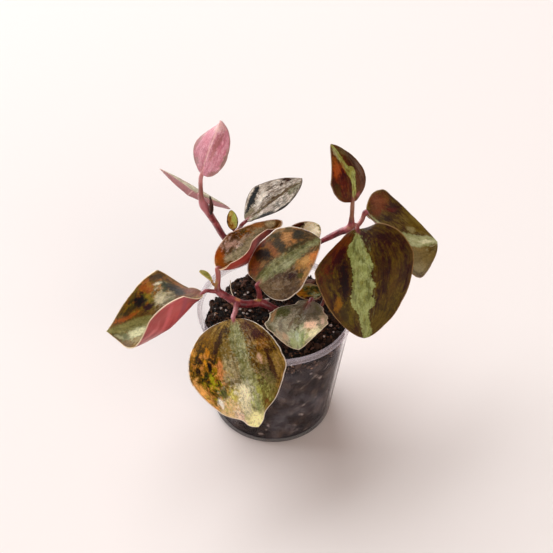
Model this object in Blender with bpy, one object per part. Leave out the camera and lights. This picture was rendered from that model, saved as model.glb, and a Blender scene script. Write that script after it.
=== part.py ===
"""A young peperomia in a small clear nursery pot: pot, soil, four leafy stems, a bud and fifteen leaves.

Metres, +Z up. The origin is the centre of the pot's flat underside, and -Y is the front.
Plant routes and leaves are written in millimetres and degrees and turned into metres by MM.
"""

import math

import bmesh
import bpy
import numpy as np
from mathutils import Vector, noise

MM = 0.001

# Pot: a thin tapered cup with a collar round its mouth.
POT_HEIGHT = 56.5 * MM
MOUTH_RADIUS = 32.0 * MM
BASE_RADIUS = 25.3 * MM
POT_WALL = 1.0 * MM
COLLAR_HEIGHT = 2.4 * MM
COLLAR_STEP = 0.7 * MM  # how far the collar stands out of the wall
BASE_BEVEL = 1.3 * MM
POT_SIDES = 48
DRAIN_RADIUS = 1.8 * MM
DRAIN_COUNT = 4
DRAIN_CIRCLE = 15.0 * MM

# Soil: fills the pot to a lumpy surface that is a little higher on the right.
SOIL_LEVEL = 50.0 * MM
SOIL_SLOPE = 0.045  # rise per metre towards +X
SOIL_LUMP = 1.1 * MM
LUMP_PITCH = 7.0 * MM
SOIL_RINGS = 9

# Plant.
CLEARANCE = 0.3 * MM  # between pieces that touch
BLADE = 0.7 * MM  # leaf thickness
BLADE_ROWS = 12
MIDRIB_STEPS = 4  # small turns of the midrib between two rows
SIDE_STEPS = 8  # steps of a cross-section from the midrib to the margin
PLAIN_SHARE = 0.42  # where the outline is narrower than this share of its width, folds, curls and lobes fade out
FOOT_HALF_WIDTH = 0.6 * MM
TIP_HALF_WIDTH = 0.5 * MM
STEM_SIDES = 8
STEM_PITCH = 2.2 * MM  # length of one facet along a stem
ROOT_DEPTH = 36.0  # height of the buried stem ends above the pot's underside, mm
PETIOLE_GAP = 0.45  # from a petiole's end to its leaf, mm

PLAIN_LEAF = dict(
    bank=0, arch=0, sweep=0, twist=0, widest=0.45, heel=1.9, point=1.5, skew=0,
    fold_left=(10, 5), fold_right=(10, 5), curl_left=(0, 0), curl_right=(0, 0),
    lobe_left=0, lobe_right=0, nip=0, columns=4, colour=(0.20, 0.14, 0.07),
)

# Each leaf starts at its foot and leaves it along a heading (from +X towards +Y) and a rise. Over its length
# the midrib arches down, sweeps to the left and twists by the angles given. left and right are half widths,
# fold and curl are the slopes of a half at the midrib and what they gain by the margin, at foot and tip.
LEAVES = {
    "leaf_front": dict(
        foot=(-16.5, -15.5, 63), heading=-83, rise=-6, bank=10, arch=60, sweep=15, twist=-15,
        length=45.5, left=17, right=21, widest=0.5, point=1.3, fold_left=(15, 0), fold_right=(5, 10),
        curl_left=(5, -5), curl_right=(-5, 5), lobe_left=-0.2, nip=0.3, colour=(0.20, 0.15, 0.06),
    ),
    "leaf_right": dict(
        foot=(31, 11.5, 89), heading=-79, rise=-18, arch=45, sweep=-5, twist=-5,
        length=44.5, left=20, right=20.5, widest=0.35, heel=1.5, point=1.6, fold_left=(25, -10),
        fold_right=(15, 0), curl_left=(10, -10), curl_right=(5, -5), lobe_left=0.4, lobe_right=-0.4,
        colour=(0.13, 0.11, 0.06),
    ),
    "leaf_centre": dict(
        foot=(-7.6, -3, 70.7), heading=19, rise=48, bank=20, arch=25, sweep=-10,
        length=31.2, left=13.6, right=14.1, widest=0.5, heel=2.4, point=1.4, skew=-0.2, fold_left=(0, 5),
        fold_right=(-5, 5), curl_left=(-10, 0), curl_right=(-10, 0), lobe_left=0.4, lobe_right=0.1,
        colour=(0.30, 0.15, 0.08),
    ),
    "leaf_folded": dict(
        foot=(-24.2, 4.5, 71.5), heading=30, rise=-34, bank=-5, arch=-110, sweep=10, twist=15,
        length=38.3, left=15.6, right=15.8, heel=1.7, fold_left=(15, 15), fold_right=(45, 95),
        curl_left=(-5, 0), curl_right=(10, 10), lobe_left=0.1, lobe_right=0.1, colour=(0.45, 0.16, 0.14),
    ),
    "leaf_left": dict(
        foot=(-29.5, -2, 64), heading=199, rise=-33, bank=-16, arch=22, sweep=-34, twist=-23,
        length=51, left=22, right=22, widest=0.32, heel=1.25, point=1.05, fold_left=(3, 1),
        fold_right=(-25, 32), curl_left=(200, 2), curl_right=(-22, 18), lobe_left=-0.2, lobe_right=-0.2,
        columns=8, colour=(0.28, 0.16, 0.08),
    ),
    "leaf_back": dict(
        foot=(35, 20, 90.3), heading=0, rise=-49, bank=-10, arch=-25, sweep=35, twist=15,
        length=44, left=21, right=21.5, widest=0.4, heel=1.8, point=1.4, fold_left=(15, 5),
        fold_right=(15, -20), curl_left=(5, 0), curl_right=(10, -5), lobe_left=0.2, colour=(0.16, 0.13, 0.07),
    ),
    "leaf_silver": dict(
        foot=(-13.7, 28, 77.6), heading=39, rise=24, bank=-15, arch=10, twist=5,
        length=30.3, left=12.8, right=13.4, widest=0.4, heel=1.6, point=1.3, fold_left=(5, 10),
        fold_right=(15, 5), curl_left=(-5, 5), curl_right=(5, 0), lobe_left=-0.2, colour=(0.36, 0.36, 0.34),
    ),
    "leaf_upper": dict(
        foot=(28.5, 14.5, 100), heading=88, rise=67, bank=40, arch=50, sweep=20, twist=10,
        length=25, left=11, right=10.5, widest=0.4, heel=2.0, point=1.3, fold_left=(5, 10),
        fold_right=(-5, 0), curl_left=(-10, -10), curl_right=(-15, -15), lobe_left=0.1, lobe_right=-0.2,
        colour=(0.22, 0.08, 0.06),
    ),
    "leaf_pink": dict(
        foot=(-31, 21, 106), heading=42, rise=74, arch=20, twist=-5,
        length=23, left=10, right=10, heel=2.0, point=1.8, fold_left=(10, -30), fold_right=(10, -10),
        curl_left=(0, -25), curl_right=(-5, -15), lobe_left=-0.4, colour=(0.60, 0.24, 0.30),
    ),
    "leaf_low": dict(
        foot=(14, 1, 59), heading=-115, rise=8, bank=10, arch=30, sweep=25, twist=5,
        length=27, left=12, right=13.5, widest=0.6, point=1.3, fold_left=(5, 10), fold_right=(5, 15),
        curl_left=(-5, 5), curl_right=(-5, 10), lobe_left=-0.1, lobe_right=-0.2, colour=(0.42, 0.42, 0.36),
    ),
    "leaf_red": dict(
        foot=(-32.5, 24, 93.5), heading=96, rise=-21, bank=30, arch=35, sweep=-5, twist=5,
        length=35.5, left=17, right=16.5, heel=1.6, point=1.6, fold_left=(0, 0), fold_right=(0, 0),
        curl_left=(0, -5), curl_right=(0, -5), lobe_left=-0.3, lobe_right=-0.1, colour=(0.50, 0.16, 0.17),
    ),
    "leaf_young": dict(
        foot=(-18.8, 27.8, 72.5), heading=104, rise=48,
        length=8.5, left=2.5, right=2.5, widest=0.5, point=1.6, columns=2, colour=(0.42, 0.46, 0.14),
    ),
    "leaf_behind": dict(
        foot=(5, 19.5, 70), heading=46, rise=29, bank=10, arch=15, sweep=-15,
        length=16.5, left=7, right=7, widest=0.4, point=1.7, columns=2, colour=(0.34, 0.30, 0.20),
    ),
    "leaf_inner": dict(
        foot=(19, 8.7, 57.5), heading=197, rise=2, bank=-5, arch=-5, sweep=-10, twist=-5,
        length=11.5, left=4.4, right=4.5, heel=1.8, point=1.7, fold_left=(5, 0), curl_left=(-5, 0),
        columns=2, colour=(0.30, 0.20, 0.08),
    ),
    "leaf_sprout": dict(
        foot=(-26, 0.5, 68), heading=125, rise=11, bank=5, arch=25, sweep=5,
        length=8.5, left=1.5, right=1.5, widest=0.6, heel=1.6, point=2.2, columns=2, colour=(0.45, 0.50, 0.12),
    ),
}

STEM_COLOUR = (0.30, 0.07, 0.08)


def clear_scene():
    for thing in list(bpy.data.objects):
        bpy.data.objects.remove(thing, do_unlink=True)


def material(name, colour, roughness, alpha=1.0):
    finish = bpy.data.materials.new(name)
    finish.use_nodes = True
    shader = finish.node_tree.nodes["Principled BSDF"]
    shader.inputs["Base Color"].default_value = (*colour, 1.0)
    shader.inputs["Roughness"].default_value = roughness
    shader.inputs["Metallic"].default_value = 0.0
    shader.inputs["Alpha"].default_value = alpha
    return finish


def mesh_object(name, points, faces, finish=None, smooth_angle=35):
    mesh = bpy.data.meshes.new(name)
    mesh.from_pydata([tuple(map(float, point)) for point in points], [], faces)
    mesh.shade_smooth()
    mesh.set_sharp_from_angle(angle=math.radians(smooth_angle))
    thing = bpy.data.objects.new(name, mesh)
    bpy.context.scene.collection.objects.link(thing)
    if finish:
        mesh.materials.append(finish)
    return thing


def combine(base, tools, operation):
    """Joins the tools to base, or cuts them out of it, and removes them."""
    group = bpy.data.collections.new(base.name + "_tools")
    bpy.context.scene.collection.children.link(group)
    for tool in tools:
        bpy.context.scene.collection.objects.unlink(tool)
        group.objects.link(tool)
    boolean = base.modifiers.new(operation.title(), "BOOLEAN")
    boolean.operation = operation
    boolean.operand_type = "COLLECTION"
    boolean.collection = group
    boolean.solver = "EXACT"
    evaluated = base.evaluated_get(bpy.context.evaluated_depsgraph_get())
    result = bpy.data.meshes.new_from_object(evaluated)
    base.modifiers.remove(boolean)
    base.data = result
    for tool in tools:
        bpy.data.objects.remove(tool, do_unlink=True)
    bpy.data.collections.remove(group)


def turned(name, profile, sides, finish=None):
    """A solid of revolution about Z. The profile runs from the axis, out and round, and back to the axis."""
    points = []
    rings = []
    for radius, height in profile:
        if radius < 1e-6:
            rings.append([len(points)])
            points.append((0, 0, height))
            continue
        rings.append(list(range(len(points), len(points) + sides)))
        for side in range(sides):
            angle = math.tau * side / sides
            points.append((radius * math.cos(angle), radius * math.sin(angle), height))
    faces = []
    for lower, upper in zip(rings, rings[1:]):
        for side in range(sides):
            after = (side + 1) % sides
            if len(lower) == 1:
                faces.append((lower[0], upper[after], upper[side]))
            elif len(upper) == 1:
                faces.append((lower[side], lower[after], upper[0]))
            else:
                faces.append((lower[side], lower[after], upper[after], upper[side]))
    return mesh_object(name, points, faces, finish)


def wall_radius(height):
    """The pot's outer radius below the collar."""
    share = height / POT_HEIGHT
    return BASE_RADIUS + (MOUTH_RADIUS - COLLAR_STEP - BASE_RADIUS) * share


def pot():
    foot = POT_HEIGHT - COLLAR_HEIGHT
    soften = 0.3 * MM
    profile = [
        (0, 0),
        (BASE_RADIUS - BASE_BEVEL, 0),
        (BASE_RADIUS - 0.3 * BASE_BEVEL, 0.4 * BASE_BEVEL),
        (wall_radius(1.5 * BASE_BEVEL), 1.5 * BASE_BEVEL),
        (wall_radius(foot), foot),
        (MOUTH_RADIUS - soften, foot),
        (MOUTH_RADIUS, foot + soften),
        (MOUTH_RADIUS, POT_HEIGHT - soften),
        (MOUTH_RADIUS - soften, POT_HEIGHT),
        (wall_radius(POT_HEIGHT) - POT_WALL, POT_HEIGHT),
        (wall_radius(2 * POT_WALL) - POT_WALL, 2 * POT_WALL),
        (wall_radius(POT_WALL) - 2 * POT_WALL, POT_WALL),
        (0, POT_WALL),
    ]
    cup = turned("pot", profile, POT_SIDES, material("clear_plastic", (0.80, 0.76, 0.78), 0.25, 0.35))
    drains = []
    for index in range(DRAIN_COUNT):
        angle = math.tau * (index + 0.5) / DRAIN_COUNT
        drain = turned("drain", [(0, -POT_WALL), (DRAIN_RADIUS, -POT_WALL), (DRAIN_RADIUS, 3 * POT_WALL),
                                 (0, 3 * POT_WALL)], 16)
        drain.location = (DRAIN_CIRCLE * math.cos(angle), DRAIN_CIRCLE * math.sin(angle), 0)
        drains.append(drain)
    combine(cup, drains, "DIFFERENCE")


def soil_height(x, y):
    """The lumpy surface, in metres above the pot's underside."""
    lump = noise.noise(Vector((x, y, 0.02)) / LUMP_PITCH)
    grain = noise.noise(Vector((y, x, 0.05)) / (0.45 * LUMP_PITCH))
    return SOIL_LEVEL + SOIL_SLOPE * x + SOIL_LUMP * (lump + 0.6 * grain)


def soil(root_holes):
    inner = POT_WALL + CLEARANCE
    floor = POT_WALL + CLEARANCE
    low_radius = wall_radius(floor + POT_WALL) - inner - POT_WALL
    side_radius = wall_radius(floor + 2 * POT_WALL) - inner
    top_radius = wall_radius(SOIL_LEVEL - SOIL_LUMP) - inner
    points = [(0, 0, floor)]
    rings = [[0]]
    for radius, height in ((low_radius, floor), (side_radius, floor + 2 * POT_WALL)):
        rings.append(ring_of(points, radius, lambda x, y, height=height: height))
    for step in range(SOIL_RINGS):
        radius = top_radius * (1 - step / SOIL_RINGS)
        rings.append(ring_of(points, radius, soil_height))
    rings.append([len(points)])
    points.append((0, 0, soil_height(0, 0)))
    faces = []
    for lower, upper in zip(rings, rings[1:]):
        for side in range(POT_SIDES):
            after = (side + 1) % POT_SIDES
            if len(lower) == 1:
                faces.append((lower[0], upper[after], upper[side]))
            elif len(upper) == 1:
                faces.append((lower[side], lower[after], upper[0]))
            else:
                faces.append((lower[side], lower[after], upper[after]))
                faces.append((lower[side], upper[after], upper[side]))
    bed = mesh_object("soil", points, faces, material("potting_soil", (0.035, 0.025, 0.02), 0.95))
    drills = []
    for x, y, diameter in root_holes:
        radius = (diameter / 2) * MM + CLEARANCE
        bottom = ROOT_DEPTH * MM - CLEARANCE
        profile = [(0, bottom), (radius, bottom), (radius, POT_HEIGHT), (0, POT_HEIGHT)]
        drill = turned("drill", profile, 12)
        drill.location = (x * MM, y * MM, 0)
        drills.append(drill)
    combine(bed, drills, "DIFFERENCE")


def ring_of(points, radius, height_at):
    """Adds one ring of points round Z and gives their numbers."""
    start = len(points)
    for side in range(POT_SIDES):
        angle = math.tau * side / POT_SIDES
        x = radius * math.cos(angle)
        y = radius * math.sin(angle)
        points.append((x, y, height_at(x, y)))
    return list(range(start, start + POT_SIDES))


def leaf_values(name):
    return {**PLAIN_LEAF, **LEAVES[name]}


def start_frame(leaf):
    """The leaf's direction, left and upward axes at its foot."""
    heading, rise, bank = (math.radians(leaf[key]) for key in ("heading", "rise", "bank"))
    ahead = np.array((math.cos(rise) * math.cos(heading), math.cos(rise) * math.sin(heading), math.sin(rise)))
    left = np.array((-math.sin(heading), math.cos(heading), 0.0))
    up = np.cross(ahead, left)
    return ahead, math.cos(bank) * left + math.sin(bank) * up, math.cos(bank) * up - math.sin(bank) * left


def turn(first, second, angle):
    """Turns one axis towards another, both unit vectors at right angles."""
    return (
        math.cos(angle) * first + math.sin(angle) * second,
        math.cos(angle) * second - math.sin(angle) * first,
    )


def margin_share(leaf, share, sign):
    """The outline: how much of the half width the blade has at this share of its length."""
    middle = leaf["widest"] - sign * 0.5 * leaf["skew"]
    if share < middle:
        away, bulge = (middle - share) / middle, leaf["heel"]
    else:
        away, bulge = (share - middle) / (1 - middle), leaf["point"]
    pinch = 1 - leaf["nip"] * math.exp(-(((share - 0.9) / 0.06) ** 2))
    return max(0.0, 1 - away**bulge) ** (1 / bulge) * pinch


def half_section(leaf, share, sign):
    """Across one half at this share of the length: steps sideways, up and back, and the slope of the blade."""
    side = "left" if sign > 0 else "right"
    width = margin_share(leaf, share, sign)
    least = FOOT_HALF_WIDTH + (TIP_HALF_WIDTH - FOOT_HALF_WIDTH) * share
    half = max(leaf[side] * MM * width, least)
    shaped = min(1.0, width / PLAIN_SHARE)
    out = np.linspace(0, 1, SIDE_STEPS + 1)
    fold = np.interp(share, (0, 1), leaf["fold_" + side])
    curl = np.interp(share, (0, 1), leaf["curl_" + side])
    slope = np.radians(shaped * (fold + curl * out))
    across = np.concatenate(([0], np.cumsum(np.cos(slope[1:]) + np.cos(slope[:-1])))) / 2
    rise = np.concatenate(([0], np.cumsum(np.sin(slope[1:]) + np.sin(slope[:-1])))) / 2
    back = shaped * leaf["lobe_" + side] * half * out**2 * (1 - share) ** 2
    step = SIDE_STEPS // leaf["columns"]
    return across[::step] * half / SIDE_STEPS, rise[::step] * half / SIDE_STEPS, back[::step], slope[::step]


def blade_surface(leaf):
    """The middle surface and its normals, as rows from foot to tip of points from left margin to right."""
    ahead, left, up = start_frame(leaf)
    middle = np.array(leaf["foot"], float) * MM
    before = 0.0
    points, normals = [], []
    for row in range(BLADE_ROWS + 1):
        share = (1 - math.cos(math.pi * row / BLADE_ROWS)) / 2
        part = (share - before) / MIDRIB_STEPS
        before = share
        for _ in range(MIDRIB_STEPS):
            ahead, up = turn(ahead, up, -math.radians(leaf["arch"]) * part)
            ahead, left = turn(ahead, left, math.radians(leaf["sweep"]) * part)
            left, up = turn(left, up, math.radians(leaf["twist"]) * part)
            middle = middle + ahead * leaf["length"] * MM * part
        halves = []
        for sign in (1, -1):
            across, rise, back, slope = half_section(leaf, share, sign)
            place = middle + np.outer(sign * across, left) + np.outer(rise, up) - np.outer(back, ahead)
            normal = np.outer(np.cos(slope), up) - np.outer(sign * np.sin(slope), left)
            halves.append((place, normal))
        (left_places, left_normals), (right_places, right_normals) = halves
        left_normals[0] += right_normals[0]
        left_normals[0] /= np.linalg.norm(left_normals[0])
        points.append(np.concatenate((left_places[::-1], right_places[1:])))
        normals.append(np.concatenate((left_normals[::-1], right_normals[1:])))
    return np.array(points), np.array(normals)


def leaf_blade(name):
    leaf = leaf_values(name)
    surface, normals = blade_surface(leaf)
    rows, columns = surface.shape[:2]
    top = (surface + normals * BLADE / 2).reshape(-1, 3)
    underside = (surface - normals * BLADE / 2).reshape(-1, 3)
    below = rows * columns
    faces = []
    for row in range(rows - 1):
        for column in range(columns - 1):
            a = row * columns + column
            b, c, d = a + 1, a + columns + 1, a + columns
            if column < columns // 2:
                halves = ((a, b, c), (a, c, d))
            else:
                halves = ((a, b, d), (b, c, d))
            for i, j, k in halves:
                faces.append((k, j, i))
                faces.append((i + below, j + below, k + below))
    edge = list(range(columns))
    edge += [row * columns + columns - 1 for row in range(1, rows)]
    edge += [(rows - 1) * columns + column for column in range(columns - 2, -1, -1)]
    edge += [row * columns for row in range(rows - 2, 0, -1)]
    for i, j in zip(edge, edge[1:] + edge[:1]):
        faces.append((i, j, j + below))
        faces.append((i, j + below, i + below))
    blade = mesh_object(name, np.concatenate((top, underside)), faces, material(name, leaf["colour"], 0.35), 50)
    outward(blade)


def outward(thing):
    """Points the faces of a closed mesh out of it."""
    work = bmesh.new()
    work.from_mesh(thing.data)
    if work.calc_volume(signed=True) < 0:
        bmesh.ops.reverse_faces(work, faces=work.faces)
    work.to_mesh(thing.data)
    work.free()


def smooth_route(route):
    """A smooth curve through (x, y, z, diameter) points in mm, read off at an even pitch, in metres."""
    knots = np.array(route, float) * MM
    knots = np.vstack((2 * knots[0] - knots[1], knots, 2 * knots[-1] - knots[-2]))
    line = []
    for p0, p1, p2, p3 in zip(knots, knots[1:], knots[2:], knots[3:]):
        steps = max(1, round(np.linalg.norm((p2 - p1)[:3]) / STEM_PITCH))
        for step in range(steps):
            t = step / steps
            line.append(
                0.5 * (2 * p1 + (p2 - p0) * t + (2 * p0 - 5 * p1 + 4 * p2 - p3) * t**2
                       + (3 * p1 - p0 - 3 * p2 + p3) * t**3)
            )
    line.append(knots[-2])
    return np.array(line)


def tube(name, route, finish=None):
    """A round stem along a route, with flat ends."""
    line = smooth_route(route)
    centres, radii = line[:, :3], line[:, 3] / 2
    tangents = np.gradient(centres, axis=0)
    tangents /= np.linalg.norm(tangents, axis=1, keepdims=True)
    side = np.cross(tangents[0], (0.0, 1.0, 0.0))
    points = []
    for centre, radius, tangent in zip(centres, radii, tangents):
        side = side - tangent * np.dot(side, tangent)
        side /= np.linalg.norm(side)
        other = np.cross(tangent, side)
        for index in range(STEM_SIDES):
            angle = math.tau * index / STEM_SIDES
            points.append(centre + radius * (math.cos(angle) * side + math.sin(angle) * other))
    last = (len(centres) - 1) * STEM_SIDES
    faces = [tuple(range(STEM_SIDES - 1, -1, -1)), tuple(range(last, last + STEM_SIDES))]
    for start in range(0, last, STEM_SIDES):
        for index in range(STEM_SIDES):
            after = (index + 1) % STEM_SIDES
            faces.append((start + index, start + after, start + after + STEM_SIDES, start + index + STEM_SIDES))
    return mesh_object(name, points, faces, finish, 50)


def up_to(leaf_name, diameter, lead=2.0):
    """The end of a petiole: two points in line with the leaf's midrib, the last just short of its foot."""
    leaf = leaf_values(leaf_name)
    ahead = start_frame(leaf)[0]
    foot = np.array(leaf["foot"], float)
    return [(*(foot - ahead * back), diameter) for back in (PETIOLE_GAP + lead, PETIOLE_GAP)]


def rooted(x, y, diameter):
    """The buried upright foot of a stem, from its lower end to just above the soil."""
    return [(x, y, height, diameter) for height in (ROOT_DEPTH, 43.0, SOIL_LEVEL / MM + 0.8)]


def leafy_stem(name, main, limbs):
    stem = tube(name, main, material(name, STEM_COLOUR, 0.4))
    combine(stem, [tube(name + "_limb", limb) for limb in limbs], "UNION")


def stem_left(root):
    main = rooted(*root) + [
        (-0.7, 0.8, 53.8, 3.4), (-3.2, 1, 55.4, 3.3), (-6.5, 1.5, 56.6, 3.4), (-9, 0, 57.3, 3.3),
        (-12.5, -2, 58.6, 3.3), (-16, -2.6, 60, 3.5), (-19.8, -0.8, 61.1, 3.1), (-23.3, 0.4, 62.7, 3.0),
        (-23.9, 1.4, 65, 2.5), (-23.6, 2.7, 68, 2.2), (-23.8, 3.7, 70.3, 2.2),
    ]
    to_left = [(-22.5, 0.3, 62.6, 1.8), (-24.8, -0.1, 63.1, 1.8), (-27.0, -0.8, 64.0, 1.6)]
    to_front = [(-15.4, -2.5, 60, 2.0), (-15.9, -6.0, 60.9, 2.0), (-16.1, -10.5, 62.2, 2.0)]
    to_centre = [(-6.7, 1.3, 57.0, 2.0), (-6.8, 0.4, 61.5, 2.2), (-7.1, -1.8, 66, 2.0),
                 (-7.9, -3.1, 69.9, 1.7)]
    to_sprout = [(-24.0, 1.4, 64.5, 1.3), (-25.2, 0.9, 65.9, 1.2), (-25.7, 0.3, 66.9, 1.1)]
    leafy_stem("stem_left", main, [
        to_left + up_to("leaf_left", 1.4, lead=1.0),
        to_front + up_to("leaf_front", 1.7),
        to_centre,
        to_sprout,
    ])


def stem_back(root):
    main = rooted(*root) + [
        (-3.8, 17.7, 53, 2.7), (-7.5, 21, 56.3, 2.6), (-13, 25, 60.3, 2.6), (-18.4, 27.8, 64.2, 2.6),
        (-22.6, 27.6, 68.6, 2.7), (-25.9, 25.2, 77.6, 2.8), (-28.7, 22.6, 85.5, 3.1),
        (-30.6, 22.2, 89.7, 3.4), (-31.5, 21.8, 93.5, 2.4), (-31.6, 21.5, 97.7, 1.9),
    ] + up_to("leaf_pink", 1.8)
    to_silver = [(-20.4, 28, 66.3, 1.7), (-18, 29.8, 69.5, 1.7), (-16.2, 29.4, 72.7, 1.7)]
    to_young = [(-22, 27.6, 69, 1.3)]
    to_red = [(-30.9, 22.1, 90.8, 2.2), (-32.0, 22.5, 92.9, 1.9)]
    leafy_stem("stem_back", main, [
        to_silver + up_to("leaf_silver", 1.6, lead=1.5),
        to_young + up_to("leaf_young", 1.0, lead=1.0),
        to_red + up_to("leaf_red", 1.6, lead=0.5),
    ])


def stem_right(root):
    main = rooted(*root) + [
        (6.5, 16.6, 56, 2.2), (9, 16, 62, 2.1), (11.6, 16, 69, 2.1), (14, 15.8, 74.6, 2.0),
        (16.9, 15, 78.6, 2.0), (20.7, 14.5, 81.9, 2.5), (24.5, 14, 85.1, 2.8), (28.3, 13.5, 87.9, 3.0),
        (28.6, 13.8, 93.4, 1.9),
    ] + up_to("leaf_upper", 1.7)
    to_right = [(27.8, 13.4, 87.6, 2.2), (29.8, 13.6, 88.9, 2.1)]
    to_back = [(27.6, 13.4, 87.4, 2.2), (31.2, 16, 86.9, 2.0), (33.3, 18.6, 88.3, 1.9)]
    to_behind = [(6.8, 16.6, 57, 1.5), (4.9, 17.2, 61.5, 1.5)]
    leafy_stem("stem_right", main, [
        to_right + up_to("leaf_right", 2.0, lead=1.2),
        to_back + up_to("leaf_back", 1.8, lead=0.8),
        to_behind + up_to("leaf_behind", 1.4),
    ])


def stem_low(root):
    main = rooted(*root) + [(15.8, 1.0, 55.2, 1.8)] + up_to("leaf_low", 1.6, lead=1.2)
    to_inner = [(16.0, 0.4, 53.6, 1.5), (19.0, 4.2, 54.3, 1.4)] + up_to("leaf_inner", 1.2, lead=1.2)
    leafy_stem("stem_low", main, [to_inner])


def bud():
    """A closed bud that stands against the swollen joint of the back stem."""
    route = [
        (-27.6, 20.0, 86.7, 0.9), (-27.4, 19.9, 88.5, 1.7), (-27.4, 19.9, 90.6, 1.9),
        (-27.5, 20.0, 93.2, 1.3), (-27.9, 20.0, 96.0, 0.6),
    ]
    tube("bud", route, material("bud", (0.05, 0.02, 0.02), 0.4))


def plant():
    roots = {
        stem_left: (3.2, 1.2, 3.4),
        stem_back: (-3.0, 17.0, 2.7),
        stem_right: (5.0, 17.0, 2.3),
        stem_low: (15.9, -0.6, 2.0),
    }
    soil(roots.values())
    for stem, root in roots.items():
        stem(root)
    bud()
    for name in LEAVES:
        leaf_blade(name)


clear_scene()
pot()
plant()
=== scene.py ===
import math

import bmesh
import bpy
import numpy as np
from mathutils import Matrix, Vector, noise


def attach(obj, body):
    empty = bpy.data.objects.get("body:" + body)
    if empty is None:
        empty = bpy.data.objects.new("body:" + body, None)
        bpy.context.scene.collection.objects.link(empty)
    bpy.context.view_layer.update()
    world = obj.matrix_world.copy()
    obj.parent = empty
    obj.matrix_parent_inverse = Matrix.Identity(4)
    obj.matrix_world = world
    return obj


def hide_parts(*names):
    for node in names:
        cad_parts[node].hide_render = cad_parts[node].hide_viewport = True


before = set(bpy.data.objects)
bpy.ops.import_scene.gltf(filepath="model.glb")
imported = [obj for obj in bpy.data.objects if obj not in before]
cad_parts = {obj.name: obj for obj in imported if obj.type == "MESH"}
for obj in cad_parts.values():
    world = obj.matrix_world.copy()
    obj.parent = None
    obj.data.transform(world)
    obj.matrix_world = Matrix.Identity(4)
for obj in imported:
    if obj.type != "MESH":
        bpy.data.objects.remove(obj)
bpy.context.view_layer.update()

mm = 0.001
scene = bpy.context.scene


# Small tools that every piece shares. A material's colours are typed as screen levels, 0 to 255.

def paint(red, green, blue):
    # screen levels as the linear colour that a shader socket takes
    levels = []
    for value in (red, green, blue):
        value = value / 255
        levels.append(value / 12.92 if value <= 0.04045 else ((value + 0.055) / 1.055) ** 2.4)
    return (*levels, 1.0)


def unit(vector):
    return vector / np.linalg.norm(vector)


def smoothLine(knots, steps):
    # points on the curve through all knots but the first and last, which only steer it
    line = []
    for p0, p1, p2, p3 in zip(knots, knots[1:], knots[2:], knots[3:]):
        for t in np.linspace(0, 1, steps + 1)[:-1]:
            line.append(0.5 * (2 * p1 + (p2 - p0) * t + (2 * p0 - 5 * p1 + 4 * p2 - p3) * t**2
                               + (3 * p1 - p0 - 3 * p2 + p3) * t**3))
    line.append(knots[-2])
    return line


class Wire:
    # an output socket that plain Python sums turn into Math nodes

    def __init__(self, maker, socket):
        self.maker = maker
        self.socket = socket

    def __add__(self, other):
        return self.maker.maths("ADD", self, other)

    def __sub__(self, other):
        return self.maker.maths("SUBTRACT", self, other)

    def __rsub__(self, other):
        return self.maker.maths("SUBTRACT", other, self)

    def __mul__(self, other):
        return self.maker.maths("MULTIPLY", self, other)

    def __truediv__(self, other):
        return self.maker.maths("DIVIDE", self, other)

    def __abs__(self):
        return self.maker.maths("ABSOLUTE", self)

    __radd__ = __add__
    __rmul__ = __mul__


class NodeMaker:
    # puts nodes into a tree, for shaders and for geometry

    def __init__(self, tree):
        self.tree = tree

    def put(self, kind, settings=None, inputs=None):
        # settings first, then the values or links of the sockets
        node = self.tree.nodes.new(kind)
        for key, value in (settings or {}).items():
            if key == "stops":
                ramp = node.color_ramp
                while len(ramp.elements) > 1:
                    ramp.elements.remove(ramp.elements[0])
                ramp.elements[0].position, ramp.elements[0].color = value[0]
                for place, colour in value[1:]:
                    ramp.elements.new(place).color = colour
            elif key == "curve":
                points = node.mapping.curves[0].points
                points[0].location, points[1].location = value[0], value[-1]
                for place in value[1:-1]:
                    points.new(*place)
                node.mapping.update()
            else:
                setattr(node, key, value)
        for key, value in (inputs or {}).items():
            if isinstance(value, Wire):
                self.link(value, node.inputs[key])
            else:
                node.inputs[key].default_value = value
        return node

    def link(self, wire, socket):
        self.tree.links.new(wire.socket, socket)

    def wire(self, kind, settings=None, inputs=None, output=0):
        return Wire(self, self.put(kind, settings, inputs).outputs[output])

    def maths(self, operation, *values):
        return self.wire("ShaderNodeMath", {"operation": operation}, dict(enumerate(values)))

    def vector(self, operation, *values, output=0):
        return self.wire("ShaderNodeVectorMath", {"operation": operation}, dict(enumerate(values)), output)

    def scale(self, vector, factor):
        return self.wire("ShaderNodeVectorMath", {"operation": "SCALE"}, {0: vector, "Scale": factor})

    def combine(self, *parts):
        return self.wire("ShaderNodeCombineXYZ", None, dict(enumerate(parts)))

    def split(self, vector):
        return [Wire(self, socket) for socket in self.put("ShaderNodeSeparateXYZ", None, {0: vector}).outputs]


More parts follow.
